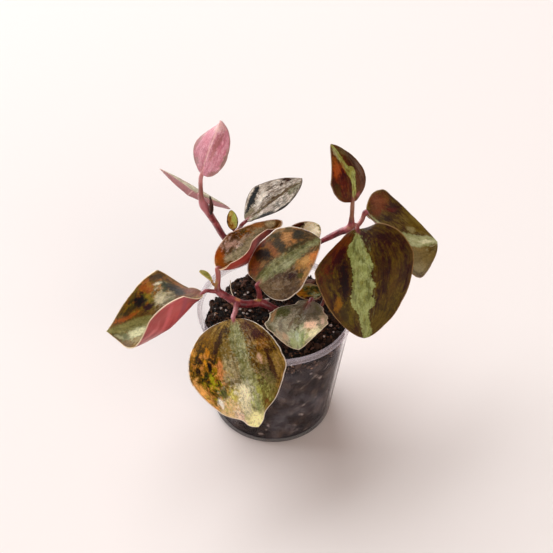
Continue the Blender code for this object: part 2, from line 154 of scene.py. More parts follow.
class Finish(NodeMaker):
    # a material: a Principled shader and what feeds it

    def __init__(self, name, roughness=0.5, **constants):
        self.material = bpy.data.materials.new(name)
        self.material.use_nodes = True
        super().__init__(self.material.node_tree)
        self.shader = self.tree.nodes["Principled BSDF"]
        self.shader.inputs["Roughness"].default_value = roughness
        for key, value in constants.items():
            self.shader.inputs[key.replace("_", " ")].default_value = value

    def feed(self, socket, wire):
        self.link(wire, self.shader.inputs[socket])

    def attribute(self, name, output="Vector"):
        return self.wire("ShaderNodeAttribute", {"attribute_name": name}, None, output)

    def places(self, stretch=(1, 1, 1)):
        # the piece's own place in mm
        place = self.wire("ShaderNodeTexCoord", None, None, "Object")
        return self.vector("MULTIPLY", place, tuple(part / mm for part in stretch))

    def noise(self, place, scale, detail=3.0, roughness=0.55, output="Fac"):
        sizes = {"Vector": place, "Scale": scale, "Detail": detail, "Roughness": roughness}
        return self.wire("ShaderNodeTexNoise", {"noise_dimensions": "3D"}, sizes, output)

    def blend(self, factor, first, second):
        # each side is a wire, three screen levels or a linear colour of four numbers
        sides = [
            paint(*side) if isinstance(side, tuple) and len(side) == 3 else side for side in (first, second)
        ]
        return self.wire("ShaderNodeMix", {"data_type": "RGBA"}, {0: factor, 6: sides[0], 7: sides[1]}, 2)

    def ramp(self, value, *stops):
        painted = [(place, paint(*colour)) for place, colour in stops]
        return self.wire("ShaderNodeValToRGB", {"stops": painted}, {"Fac": value})

    def step(self, value, low, high, top=1.0):
        # 0 at low and top at high, eased at both ends
        sizes = {"Value": value, "From Min": low, "From Max": high, "To Min": 0.0, "To Max": top}
        return self.wire("ShaderNodeMapRange", {"interpolation_type": "SMOOTHSTEP"}, sizes)

    def spot(self, place, centre, radii, turn=0.0, soft=0.5, amount=1.0, ragged=None):
        # a soft-edged ellipse or ellipsoid: amount inside, 0 outside
        sizes = {"Vector": place, "Location": centre, "Rotation": (0, 0, math.radians(turn)), "Scale": radii}
        local = self.wire("ShaderNodeMapping", {"vector_type": "TEXTURE"}, sizes)
        away = self.vector("LENGTH", local, output="Value")
        if ragged is not None:
            away = away + ragged
        return self.step(away, 1 + soft / 2, 1 - soft / 2, amount)

    def bump(self, height, distance, strength=1.0, after=None):
        sizes = {"Strength": strength, "Distance": distance, "Height": height}
        if after is not None:
            sizes["Normal"] = after
        return self.wire("ShaderNodeBump", None, sizes)


def addObject(name, data):
    piece = bpy.data.objects.new(name, data)
    scene.collection.objects.link(piece)
    return piece


def addMesh(name, points, faces, *finishes):
    mesh = bpy.data.meshes.new(name)
    mesh.from_pydata([tuple(map(float, point)) for point in points], [], faces)
    mesh.shade_smooth()
    for finish in finishes:
        mesh.materials.append(finish.material)
    return addObject(name, mesh)


def faceOut(piece):
    work = bmesh.new()
    work.from_mesh(piece.data)
    bmesh.ops.recalc_face_normals(work, faces=work.faces)
    if work.calc_volume(signed=True) < 0:
        bmesh.ops.reverse_faces(work, faces=work.faces)
    work.to_mesh(piece.data)
    work.free()


def bake(piece):
    # turns what the piece's modifiers make into its plain mesh
    bpy.context.view_layer.update()
    made = piece.evaluated_get(bpy.context.evaluated_depsgraph_get())
    mesh = bpy.data.meshes.new_from_object(made)
    if piece.type == "MESH":
        piece.modifiers.clear()
        piece.data = mesh
        return piece
    name = piece.name
    bpy.data.objects.remove(piece, do_unlink=True)
    return addObject(name, mesh)


def newTree(name, sockets):
    # a geometry tree with its named inputs, a maker for it and the wires that its inputs give
    tree = bpy.data.node_groups.new(name, "GeometryNodeTree")
    tree.interface.new_socket("Geometry", in_out="INPUT", socket_type="NodeSocketGeometry")
    for label, kind, value in sockets:
        socket = tree.interface.new_socket(label, in_out="INPUT", socket_type="NodeSocket" + kind)
        socket.default_value = value
    tree.interface.new_socket("Material", in_out="INPUT", socket_type="NodeSocketMaterial")
    tree.interface.new_socket("Geometry", in_out="OUTPUT", socket_type="NodeSocketGeometry")
    maker = NodeMaker(tree)
    start = maker.put("NodeGroupInput")
    return maker, {socket.name: Wire(maker, socket) for socket in start.outputs if socket.name}


def closeTree(maker, shape, given):
    # every tree ends in a plain mesh with its material
    plain = maker.wire("GeometryNodeRealizeInstances", None, {"Geometry": shape})
    sizes = {"Geometry": plain, "Material": given["Material"]}
    done = maker.wire("GeometryNodeSetMaterial", None, sizes)
    maker.link(done, maker.put("NodeGroupOutput").inputs[0])
    return maker.tree


def addTree(piece, tree, values):
    modifier = piece.modifiers.new(tree.name, "NODES")
    modifier.node_group = tree
    for item in tree.interface.items_tree:
        if item.in_out == "INPUT" and item.name in values:
            modifier[item.identifier] = values[item.name]


def settle(piece, slot, *nodes):
    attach(piece, "root")
    if nodes:
        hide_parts(*nodes)


# Camera, floor and light

view = {
    "aim": (-0.2, 0.0, 72.4),      # mm
    "distance": 450.0,
    "elevation": 41.6,             # degrees
    "roll": 2.2,
    "sensor": 36.0,                # mm
    "focal": 1130,                 # pixels, in a picture so many pixels wide
    "picture": 553,
}


def addCamera():
    tilt, roll = math.radians(view["elevation"]), math.radians(view["roll"])
    back = Vector((0, -math.cos(tilt), math.sin(tilt)))
    level, upright = Vector((1, 0, 0)), Vector((0, math.sin(tilt), math.cos(tilt)))
    right = math.cos(roll) * level + math.sin(roll) * upright
    up = math.cos(roll) * upright - math.sin(roll) * level
    data = bpy.data.cameras.new("viewCamera")
    data.sensor_width = view["sensor"]
    data.lens = view["focal"] / view["picture"] * view["sensor"]
    data.clip_start = 0.01
    camera = addObject("viewCamera", data)
    camera.matrix_world = Matrix((right, up, back)).transposed().to_4x4()
    camera.location = (Vector(view["aim"]) + back * view["distance"]) * mm
    scene.camera = camera


floorLook = {"size": 1.6, "roughness": 0.9, "shine": 0.1, "colour": (243, 235, 232)}

lightLook = {
    "sky": (1.0, 0.9, 0.84, 1.0),
    "skyStrength": 0.25,
    "target": (0, 0, 0.05),
    "lamps": [
        # name, place, width, height, power, colour
        ("keyLamp", (-1.99, 1.79, 1.36), 4.8, 4.3, 250.0, (0.955, 0.98, 1.0)),
        ("fillLamp", (1.17, -2.02, 1.14), 2.2, 1.7, 31.0, (1.0, 0.87, 0.78)),
    ],
}


def addFloor():
    finish = Finish("paleFloor", floorLook["roughness"], Specular_IOR_Level=floorLook["shine"],
                    Base_Color=paint(*floorLook["colour"]))
    half = floorLook["size"] / 2
    corners = [(-half, -half, 0), (half, -half, 0), (half, half, 0), (-half, half, 0)]
    floor = addMesh("floor", corners, [(0, 1, 2, 3)], finish)


def addLights():
    world = bpy.data.worlds.new("softRoom")
    world.use_nodes = True
    background = world.node_tree.nodes["Background"]
    background.inputs["Color"].default_value = lightLook["sky"]
    background.inputs["Strength"].default_value = lightLook["skyStrength"]
    scene.world = world
    for name, place, width, height, power, colour in lightLook["lamps"]:
        data = bpy.data.lights.new(name, "AREA")
        data.shape = "RECTANGLE"
        data.size = width
        data.size_y = height
        data.energy = power
        data.color = colour
        lamp = addObject(name, data)
        lamp.location = place
        aim = Vector(lightLook["target"]) - Vector(place)
        lamp.rotation_euler = aim.to_track_quat("-Z", "Y").to_euler()
    scene.view_settings.view_transform = "Standard"


# Leaves

plainLeaf = dict(
    bank=0, arch=0, sweep=0, twist=0, widest=0.45, heel=1.9, point=1.5, skew=0, nip=0, notches=(), wave=0.3,
    foldLeft=(10, 5), foldRight=(10, 5), curlLeft=(0, 0), curlRight=(0, 0), lobeLeft=0, lobeRight=0,
    ripple=0.025, ruffle=3.5, gain=(1, 1, 1), punch=1, middle=(128, 110, 80), drawn=0.5, rim=(214, 196, 160),
    under=(170, 84, 76), underVein=(214, 140, 124), foot=(150, 84, 74), footLength=4, rough=0.42, shine=0.13,
    haze=0.008, silver=0, veins=0.45, speckle=0.25, flecks=0.2, stripe=None, spots=(), mottles=(), marks=(),
    underSpotsAndPaintedLight=(),
)

leafBuild = {
    "rows": 72,
    "columns": 22,             # across each half
    "middle": 0.72,            # thickness at the midrib, mm
    "margin": 0.24,            # thickness near the margin
    "plainShare": 0.42,        # below this share of the width, folds, curls and lobes fade out
    "footWidth": 0.6,
    "tipWidth": 0.16,
    "groove": 0.16,            # depth of the midrib's groove
    "grooveReach": 0.07,       # share of the half width
    "nip": (0.9, 0.06),        # where the tip is nipped in, and over how much of the length
    "ribs": ((0.36, 0.1, 0.035), (0.7, 0, 0.03)),   # place across, its drift towards the tip, reach
    "ribDepth": 0.05,
    "swell": (9, 7),           # mm, length and width of the blade's waves
}

# Places and sizes are in mm and angles in degrees. A leaf starts at its place with a heading, a rise and a
# bank, and turns by arch, sweep and twist on its way to the tip. Folds and curls are (at foot, at tip).
# Patches lie on the flattened blade: x runs from the foot along the midrib, and y to the left of it.
# Spots, marks and underSpotsAndPaintedLight are (x, y, radius along, radius across, turn, colour, amount). Mottles are
# (colour, pitch, share, amount, x, y, radius along, radius across, turn). A stripe's edges are
# (share of the length, cm from the midrib). Notches are (share of the length, side, depth, reach).
leaves = {
    "leaf_front": dict(
        slot="green_gold_leaf", place=(-16.5, -15.5, 63), heading=-83, rise=-6, bank=10, arch=60, sweep=15,
        twist=-15, length=45.5, left=17, right=21, widest=0.5, point=1.3, foldLeft=(15, 0),
        foldRight=(5, 10), curlLeft=(5, -5), curlRight=(-5, 5), lobeLeft=-0.2, nip=0.3, seed=1,
        # the near-white rim is partly the margin's own pale colour and partly a painted highlight along the
        # edge
        gain=(1.44, 1.53, 1.66), punch=1.12, middle=(140, 120, 81), rim=(250, 236, 220), speckle=0.4,
        flecks=0.4, drawn=0.95,
        ground=[(64, 48, 18), (104, 78, 34), (150, 116, 60)],
        spots=[
            (12, -15, 14, 8, 15, (112, 80, 22), 0.9), (23, -15, 9, 6, 0, (92, 70, 16), 0.9),
            (16, -5, 7, 2.5, 0, (118, 96, 54), 0.8), (33, -2, 6, 5, 0, (204, 190, 144), 0.85),
            (8, 7, 7, 3, 40, (80, 53, 25), 0.9), (13, 9.5, 2.6, 2.2, 0, (142, 98, 48), 0.8),
            (22, 13.5, 5, 1.8, -8, (136, 106, 54), 0.8), (27, 8.5, 6, 3.2, -15, (86, 77, 46), 0.85),
            (33, 7.5, 4.5, 3, -35, (106, 96, 48), 0.8), (22, -4.5, 5, 4.2, 0, (154, 134, 94), 0.9),
            (31, -6, 3, 2.4, 0, (182, 160, 78), 0.85), (29.5, -10, 3.5, 2.5, 20, (106, 98, 56), 0.8),
            (35.5, -9, 5, 4, 25, (206, 172, 120), 0.9), (30, -17, 10, 2.6, 22, (208, 150, 86), 0.9),
            (40, -5.5, 4, 1.8, 20, (222, 188, 160), 0.7),
        ],
        stripe=dict(
            left=[(0, 0.05), (0.12, 0.22), (0.25, 0.34), (0.42, 0.36), (0.6, 0.46), (0.8, 0.42), (1, 0.4)],
            right=[(0, 0.05), (0.12, 0.2), (0.25, 0.28), (0.42, 0.12), (0.6, 0.2), (0.8, 0.4), (1, 0.4)],
            colours=((114, 108, 64), (136, 132, 90)), jag=1.3, blur=0.7, amount=0.8, last=(222, 210, 146),
        ),
        mottles=[
            ((58, 42, 20), 2.6, 0.5, 0.55, 13, 9, 14, 7, 0),
            ((168, 112, 34), 1.6, 0.5, 0.5, 17, -15, 14, 6, 10),
            ((50, 50, 8), 1.5, 0.6, 0.8, 20, -14.5, 12, 7, 5),
            ((158, 150, 42), 1.6, 0.45, 0.6, 28, -10, 8, 6, 0),
            ((228, 216, 188), 1.7, 0.5, 0.5, 32, -4, 7, 7, 20),
            ((190, 184, 150), 1.2, 0.45, 0.3, 19, 0, 15, 6, 0),
            ((70, 64, 38), 1.2, 0.45, 0.45, 20, -2, 14, 5, 0),
            ((176, 176, 92), 1.8, 0.5, 0.5, 35, 3, 9, 5, -20),
            ((214, 140, 80), 1.7, 0.5, 0.5, 22, -13, 10, 6, 20),
            ((150, 118, 84), 1.4, 0.5, 0.4, 17, 9, 14, 6, 0),
        ],
        marks=[
            (10, -7, 8, 1.3, -29, (66, 50, 20), 0.85), (22.5, 11.2, 7, 1, 7, (70, 50, 29), 0.85),
            (20.5, -8.6, 3.4, 1, -10, (188, 120, 70), 0.9), (26.2, -5, 0.8, 3.2, 0, (98, 82, 50), 0.75),
            (19, -12.3, 1.9, 0.8, 0, (50, 42, 8), 0.9), (21.4, -14.3, 1.3, 0.9, 0, (58, 56, 10), 0.85),
            (16.2, -15.6, 1.6, 0.7, 20, (68, 50, 12), 0.85), (19.4, -17, 1.3, 1, 0, (56, 48, 12), 0.85),
            (24.2, -17.4, 1.4, 0.8, 0, (64, 54, 16), 0.8), (13.5, -12, 1.6, 0.7, -10, (176, 112, 40), 0.8),
            (17.4, -13.6, 1.4, 0.6, 0, (186, 126, 42), 0.85),
            (23.6, -12.6, 1.9, 0.8, 10, (152, 144, 44), 0.8),
            (26.6, -17.2, 2.4, 1.2, 20, (220, 156, 82), 0.9), (28.6, -9.2, 1.9, 1.3, 0, (82, 82, 50), 0.8),
            (32.2, -11.6, 1.7, 0.9, 20, (232, 220, 200), 0.85),
            (19, 7.4, 1.9, 0.9, 0, (180, 142, 112), 0.85), (31.4, 4.2, 1.9, 0.8, 0, (160, 154, 72), 0.75),
            (36.5, 6, 1.1, 0.7, 0, (106, 64, 34), 0.7), (37, 2.2, 2.2, 0.9, 0, (126, 130, 82), 0.65),
            (31.2, -1.4, 3.6, 2, 0, (236, 220, 176), 0.8), (36.5, -2.4, 3, 1.8, 10, (214, 198, 158), 0.7),
            (42, 0, 3, 2.2, 0, (232, 218, 156), 0.8), (9.4, 8.8, 3.4, 1.5, 42, (74, 50, 24), 0.85),
            (12.5, -17.6, 2, 0.7, 20, (190, 132, 62), 0.7), (21.4, -2.2, 3, 0.5, 5, (92, 82, 50), 0.55),
            (30.6, -6.6, 1.3, 0.9, 0, (196, 182, 76), 0.7),
        ],
    ),
    "leaf_right": dict(
        slot="olive_leaf", place=(31, 11.5, 89), heading=-79, rise=-18, arch=45, sweep=-5, twist=-5,
        length=44.5, left=20, right=20.5, widest=0.35, heel=1.5, point=1.6, foldLeft=(25, -10),
        foldRight=(15, 0), curlLeft=(10, -10), curlRight=(5, -5), lobeLeft=0.4, lobeRight=-0.4, seed=2,
        gain=(1.34, 1.51, 1.57), punch=1.1, middle=(91, 77, 42), rim=(150, 116, 74), speckle=0.3,
        ground=[(54, 34, 10), (70, 48, 17), (86, 64, 28)],
        spots=[
            (10, -11, 11, 3.4, -38, (88, 42, 14), 0.85), (5, -6, 4, 2.2, -40, (96, 52, 24), 0.8),
            (8, 9, 6, 1.8, 62, (54, 31, 8), 0.7), (30.5, -10.8, 2.8, 1.6, -20, (122, 78, 10), 0.9),
            (22, -8.5, 8, 1.8, 0, (54, 38, 12), 0.7), (34, -7, 6, 2.5, 15, (88, 72, 30), 0.7),
            (34, 9, 8, 4, -30, (84, 68, 32), 0.5),
        ],
        stripe=dict(
            left=[
                (0, 0), (0.11, 0.08), (0.22, 0.22), (0.34, 0.37), (0.39, 0.38), (0.46, 0.24), (0.54, 0.42),
                (0.58, 0.28), (0.7, 0.4), (0.76, 0.15), (0.86, 0.18), (0.93, 0.3), (1, 0.22),
            ],
            right=[
                (0, 0), (0.11, 0.26), (0.22, 0.6), (0.34, 0.5), (0.46, 0.5), (0.56, 0.54), (0.63, 0.6),
                (0.72, 0.54), (0.76, 0.34), (0.86, 0.22), (0.95, 0.1), (1, 0.02),
            ],
            colours=((124, 122, 68), (144, 142, 88)), jag=1.5, blur=0.25, amount=0.97,
        ),
        mottles=[
            ((40, 26, 6), 2.4, 0.5, 0.48, 20, 0, 24, 20, 0),
            ((104, 84, 30), 2, 0.42, 0.4, 26, 0, 20, 20, 0),
            ((178, 176, 124), 1.1, 0.45, 0.25, 20, 0, 22, 4, 0),
        ],
        marks=[
            (21, -8.4, 9, 1.6, 2, (40, 23, 4), 0.85), (11.5, -10, 5, 1.6, -42, (50, 22, 8), 0.8),
            (8, 10, 5, 1.2, 60, (50, 32, 8), 0.7), (31, -11, 2.4, 1.3, -20, (124, 80, 12), 0.85),
            (35, -8.4, 3, 1.4, 15, (56, 42, 16), 0.75), (4, 2.6, 3, 0.8, 30, (54, 28, 8), 0.7),
            (38, 5, 4, 2.2, -30, (90, 70, 30), 0.6), (24, 11, 7, 1.4, -14, (86, 60, 24), 0.55),
            (16, 6.5, 6, 1, 10, (56, 40, 12), 0.5), (26, -16, 6, 1.2, 12, (86, 54, 24), 0.6),
        ],
    ),
    "leaf_centre": dict(
        slot="orange_leaf", place=(-7.6, -3, 70.7), heading=19, rise=48, bank=20, arch=25, sweep=-10,
        length=31.2, left=13.6, right=14.1, widest=0.5, heel=2.4, point=1.4, skew=-0.2, foldLeft=(0, 5),
        foldRight=(-5, 5), curlLeft=(-10, 0), curlRight=(-10, 0), lobeLeft=0.4, lobeRight=0.1, seed=3,
        # the near-white rim is partly the margin's own pale colour and partly a painted highlight along the
        # edge
        gain=(1.07, 1.1, 1.01), punch=1.1, middle=(111, 88, 58), rim=(240, 226, 210), speckle=0.4,
        flecks=0.4, shine=0.2, drawn=0.8,
        ground=[(66, 46, 22), (92, 68, 40), (124, 92, 58)],
        spots=[
            (5, 7, 5, 2.6, 50, (124, 68, 18), 0.9), (9.5, 8.5, 3.6, 3, 20, (58, 43, 19), 0.9),
            (13.4, 7, 1.6, 4, 0, (132, 80, 38), 0.9), (16.5, 6.5, 1.8, 4.4, 0, (72, 56, 30), 0.85),
            (20.5, 7, 2.3, 3.4, 20, (160, 108, 64), 0.9), (24.5, 6, 2.4, 2.8, 0, (62, 50, 30), 0.8),
            (9, 12, 6, 1.8, 10, (108, 52, 42), 0.8), (20, 12, 5, 1.6, -20, (160, 128, 92), 0.7),
            (5, -6, 6, 5, 0, (120, 96, 72), 0.8), (12, -11, 7, 2.6, 0, (88, 68, 52), 0.7),
            (14, -7, 4, 1.7, -25, (66, 43, 20), 0.9), (20, -5.5, 3, 2.2, -15, (168, 122, 64), 0.9),
            (25.5, -6, 3.6, 2.4, 15, (182, 118, 66), 0.95), (20, -10.5, 4.4, 2, 25, (176, 126, 78), 0.85),
            (9, -4, 4, 1.5, -15, (86, 62, 46), 0.7),
        ],
        stripe=dict(
            left=[(0, 0.1), (0.2, 0.24), (0.4, 0.3), (0.6, 0.2), (0.85, 0.12), (1, 0.1)],
            right=[(0, 0.05), (0.25, 0.24), (0.45, 0.4), (0.6, 0.3), (0.8, 0.16), (1, 0.1)],
            colours=((112, 108, 66), (136, 132, 92)), jag=1.6, blur=0.8, amount=0.9,
        ),
        mottles=[
            ((48, 38, 15), 1.5, 0.5, 0.5, 17, 8, 10, 7, 0),
            ((196, 126, 60), 1.4, 0.45, 0.4, 17, 8, 11, 6, 0),
            ((200, 134, 70), 1.5, 0.5, 0.5, 23, -7, 7, 6, 0),
            ((60, 42, 28), 1.5, 0.5, 0.5, 10, -8, 11, 7, 0),
            ((160, 140, 122), 1.3, 0.5, 0.3, 9, -7, 10, 7, 0),
            ((166, 162, 124), 1.3, 0.5, 0.3, 15, 0, 12, 4, 0),
            ((70, 66, 40), 1.2, 0.45, 0.4, 18, 0, 14, 4, 0),
        ],
        marks=[
            (10, 8, 2.2, 2.5, 30, (52, 39, 16), 0.92), (16.6, 6.8, 1.4, 3.6, -10, (66, 51, 23), 0.88),
            (24.6, 6.2, 2.2, 2.1, -20, (58, 47, 27), 0.88), (13.5, 6.8, 0.9, 3.6, 0, (136, 82, 46), 0.85),
            (20.6, 8.2, 1.6, 2.6, -30, (172, 122, 74), 0.88), (14, -7, 2.1, 1, -35, (62, 38, 14), 0.92),
            (4.4, 6.6, 3.6, 1.1, 52, (118, 62, 15), 0.88), (4, 2.2, 3.4, 0.7, 8, (82, 74, 22), 0.8),
            (15, -2.4, 2.3, 0.8, 0, (156, 152, 118), 0.75), (22.5, -5, 2.4, 1.5, -10, (190, 142, 84), 0.85),
            (26, -5.2, 1.9, 1.5, 15, (190, 114, 56), 0.92), (17.4, -9.2, 1.7, 0.9, -20, (78, 69, 25), 0.85),
            (10, 12.2, 4.5, 0.8, 6, (108, 52, 36), 0.85), (21, 2.6, 3, 0.6, 5, (60, 54, 25), 0.75),
            (22, 10.4, 1.5, 1, -20, (78, 62, 32), 0.75), (7, 4.8, 1.5, 0.7, 20, (148, 106, 64), 0.75),
            (11.4, -11.6, 2, 0.8, -10, (78, 60, 48), 0.75), (23.6, 0.8, 1.4, 0.4, 10, (78, 74, 48), 0.6),
            (19.6, -10, 2, 0.9, 25, (150, 112, 60), 0.7), (17, 11.4, 2.4, 0.9, -10, (84, 70, 44), 0.7),
            (8.6, -3.4, 3, 0.6, -12, (82, 60, 46), 0.65),
        ],
    ),
    "leaf_folded": dict(
        slot="red_orange_leaf", place=(-24.2, 4.5, 71.5), heading=30, rise=-34, bank=-5, arch=-110,
        sweep=10, twist=15, length=38.3, left=15.6, right=15.8, heel=1.7, foldLeft=(15, 15),
        foldRight=(45, 95), curlLeft=(-5, 0), curlRight=(10, 10), lobeLeft=0.1, lobeRight=0.1, seed=4,
        gain=(1.83, 2.04, 2.09), punch=1.08, middle=(130, 95, 74), wave=0.2, rim=(236, 204, 178),
        under=(130, 54, 50), underVein=(160, 88, 80), speckle=0.45, flecks=0.4, drawn=0.7,
        ground=[(80, 50, 22), (108, 70, 38), (132, 96, 66)],
        spots=[
            (6, 8, 8, 3, 55, (128, 62, 16), 0.95), (14, 13, 8, 2.4, 8, (118, 70, 40), 0.7),
            (14, 10.5, 6, 3, 10, (138, 104, 88), 0.75), (10, 9, 4, 1.5, 40, (70, 40, 20), 0.6),
            (22, 12, 5, 2.4, -10, (82, 56, 28), 0.8), (30, 9.5, 5, 2.2, -35, (122, 78, 46), 0.85),
            (18, 6, 16, 2.4, 4, (140, 124, 94), 0.85), (27, 13, 5, 1.2, -28, (150, 90, 50), 0.7),
        ],
        mottles=[
            ((188, 160, 148), 1.2, 0.5, 0.5, 15, 10, 10, 5, 0),
            ((48, 28, 12), 1.3, 0.5, 0.6, 16, 10, 16, 6, 0),
            ((170, 92, 36), 1.6, 0.45, 0.35, 26, 11, 12, 4, 0),
            ((170, 154, 130), 1.2, 0.45, 0.4, 20, 5, 16, 3, 0),
        ],
        marks=[
            (5, 6.6, 5, 2, 58, (144, 68, 20), 0.92), (14, 10.8, 3, 1.6, 15, (170, 132, 114), 0.8),
            (27.2, 12, 3, 1, -25, (104, 62, 26), 0.88), (31, 8, 2.6, 1.4, -40, (148, 90, 48), 0.88),
            (34.4, 4, 2.2, 1.6, -40, (168, 146, 112), 0.85), (12, 8.4, 2.6, 0.7, 30, (84, 54, 32), 0.8),
            (17, 12.6, 3, 0.8, 10, (76, 46, 24), 0.8), (20, 9.4, 2.4, 0.9, 8, (160, 132, 108), 0.7),
            (23.4, 12, 2, 0.8, -8, (84, 60, 28), 0.75), (19, 6, 9, 1.4, 6, (142, 122, 94), 0.7),
            (9, 5.6, 2.4, 0.8, 20, (168, 146, 116), 0.75), (16, 8.4, 1.6, 0.5, 25, (196, 164, 150), 0.7),
        ],
        # underside patches: the big pale ones near (7, -5) and (13, -6) are painted light that lifts the
        # shaded underside, and the pinkish-white one at (10.5, -1.5) is a painted sheen
        underSpotsAndPaintedLight=[
            (7, -5, 7, 6, 0, (194, 81, 66), 0.9), (13, -6, 4, 5, 10, (201, 74, 62), 0.8),
            (10.5, -1.5, 3.4, 2, 0, (210, 139, 133), 0.9), (9.5, -10.5, 4, 2.4, 0, (164, 53, 37), 0.8),
            (18, -12, 6, 2.6, 5, (159, 57, 48), 0.8), (31, -7.4, 3, 1.6, 25, (164, 68, 40), 0.8),
        ],
    ),
    "leaf_left": dict(
        slot="orange_leaf", place=(-29.5, -2, 64), heading=199, rise=-33, bank=-16, arch=22, sweep=-34,
        twist=-23, length=51, left=22, right=22, widest=0.32, heel=1.25, point=1.05, foldLeft=(3, 1),
        foldRight=(-25, 32), curlLeft=(200, 2), curlRight=(-22, 18), lobeLeft=-0.2, lobeRight=-0.2, seed=5,
        gain=(1.04, 1.14, 1.01), punch=1.07, middle=(146, 109, 78), wave=0.2, rim=(236, 214, 178),
        under=(146, 60, 60), underVein=(176, 92, 88), speckle=0.4, flecks=0.35, drawn=0.7, shine=0.2,
        ground=[(76, 50, 14), (112, 76, 28), (140, 100, 48)],
        spots=[
            (5, -5, 6, 3, -50, (112, 62, 26), 0.92), (17, -7.5, 4.5, 3, 0, (172, 150, 122), 0.9),
            (16.5, -13.5, 3.4, 2, 0, (140, 118, 90), 0.8), (11, -10, 6, 1.8, -52, (58, 44, 22), 0.9),
            (9.5, -14, 5, 1.5, -55, (140, 98, 66), 0.8), (23, -9, 3.4, 2.6, -10, (128, 100, 30), 0.85),
            (23.5, -13.5, 4, 2, 15, (160, 86, 34), 0.9), (17, -18, 4, 1.8, 10, (88, 62, 10), 0.85),
            (25, -6, 2.4, 1.4, 0, (70, 34, 12), 0.8), (28, -10, 4, 2, 20, (62, 42, 6), 0.9),
            (33, -6, 5, 1.7, 20, (112, 78, 22), 0.8), (39.5, -4.5, 5, 1.2, 12, (164, 88, 38), 0.9),
            (36, -8, 6, 1.4, 22, (100, 80, 30), 0.7), (34, 2.4, 6, 2, 5, (204, 192, 154), 0.9),
            (40, 3.4, 4, 1.6, -15, (128, 116, 84), 0.8), (44, 2, 4, 1.2, -20, (104, 96, 58), 0.7),
            (8, -3, 8, 2, -10, (104, 62, 28), 0.85), (28, 6, 8, 3, 0, (170, 150, 110), 0.6),
        ],
        stripe=dict(
            left=[(0, 0), (0.4, 0.1), (0.6, 0.12), (1, 0.08)],
            right=[(0, 0.05), (0.4, 0.1), (0.6, 0.32), (0.75, 0.3), (0.9, 0.16), (1, 0.1)],
            colours=((126, 112, 60), (150, 136, 84)), jag=1, blur=0.7, amount=0.9,
        ),
        mottles=[
            ((52, 54, 14), 1.6, 0.5, 0.6, 20, -12, 15, 7, 0),
            ((190, 110, 38), 1.5, 0.5, 0.5, 24, -12, 14, 6, 10),
            ((216, 200, 176), 1.3, 0.5, 0.4, 18, -9, 5, 6, 0),
            ((160, 140, 46), 1.5, 0.45, 0.5, 27, -10, 12, 6, 10),
            ((100, 98, 58), 1.3, 0.5, 0.45, 40, 2, 8, 3, 0),
            ((50, 36, 11), 1.6, 0.45, 0.6, 34, -7, 12, 4, 15),
        ],
        marks=[
            (4.6, -4.2, 4.8, 2.6, -42, (114, 58, 22), 0.92), (9.6, -8.4, 3.4, 2, -50, (84, 54, 20), 0.85),
            (11.5, -9.2, 6.5, 1.4, -50, (55, 43, 19), 0.92), (15.4, -12.2, 1.2, 3, 0, (60, 56, 27), 0.85),
            (19.2, -7.2, 2.3, 2.2, 10, (214, 190, 160), 0.92),
            (17.8, -14.6, 1.6, 0.9, 10, (226, 204, 182), 0.9),
            (28.3, -9.4, 2.7, 2.3, 10, (46, 29, 10), 0.95), (25.4, -6, 2.4, 1.2, 5, (64, 28, 10), 0.9),
            (22.6, -12.4, 1.9, 1.3, 20, (164, 86, 34), 0.88),
            (24.6, -14.4, 1.7, 1, 10, (158, 80, 30), 0.85), (24, -10.4, 1.5, 0.8, 0, (150, 122, 40), 0.75),
            (17.6, -17.8, 3.3, 1.3, 5, (70, 51, 8), 0.88), (36.5, -4.7, 6.5, 0.7, 8, (172, 88, 36), 0.88),
            (34, -7.2, 4.4, 1, 22, (68, 54, 13), 0.85), (33.4, 2.8, 3.8, 1.7, 5, (214, 200, 162), 0.9),
            (40.6, 3.2, 1, 2, -35, (106, 100, 66), 0.8), (14.2, -5.2, 1.6, 1, 0, (124, 114, 84), 0.8),
            (9, -12.4, 4, 1, -50, (138, 84, 50), 0.75), (38, -1.6, 6, 1, 0, (150, 138, 82), 0.65),
            (22.5, -16.8, 2, 0.7, 15, (176, 104, 56), 0.75),
            (43.6, 3, 2.4, 0.8, -22, (178, 162, 126), 0.75), (7, -3.6, 3.4, 0.9, -22, (112, 72, 40), 0.7),
            (31, -11.8, 2, 0.8, 25, (110, 84, 24), 0.7),
        ],
        # underside patches: the big bright one at (11, 10) is painted light that lifts the shaded underside,
        # and the dark streak at (16, 2.5) is painted shade along the crease
        underSpotsAndPaintedLight=[
            (11, 10, 7, 8, 0, (200, 89, 87), 0.85), (16, 18, 5, 4, 0, (175, 72, 70), 0.8),
            (25, 13, 5, 2.2, -20, (200, 144, 140), 0.8), (8, 8, 4, 1, 4, (158, 72, 86), 0.7),
            (14, 6, 5, 0.8, 8, (146, 48, 60), 0.75), (20, 8, 6, 0.9, -5, (216, 86, 98), 0.65),
            (17, 12, 5, 0.7, 8, (152, 54, 64), 0.7), (24, 9, 4, 0.8, 0, (154, 52, 66), 0.7),
            (12, 14, 4, 0.8, 12, (216, 108, 112), 0.6), (20, 17, 5, 0.8, -6, (212, 122, 120), 0.6),
            (28, 7, 4, 0.8, -8, (202, 86, 90), 0.7), (16, 2.5, 12, 0.7, 0, (122, 42, 56), 0.8),
        ],
    ),
    "leaf_back": dict(
        slot="olive_leaf", place=(35, 20, 90.3), heading=0, rise=-49, bank=-10, arch=-25, sweep=35,
        twist=15, length=44, left=21, right=21.5, widest=0.4, heel=1.8, point=1.4, foldLeft=(15, 5),
        foldRight=(15, -20), curlLeft=(5, 0), curlRight=(10, -5), lobeLeft=0.2, seed=6,
        gain=(1.48, 1.63, 1.66), punch=1.2, middle=(104, 84, 52), rim=(150, 126, 92), rough=0.45,
        ground=[(66, 45, 16), (84, 62, 26), (106, 84, 42)],
        spots=[
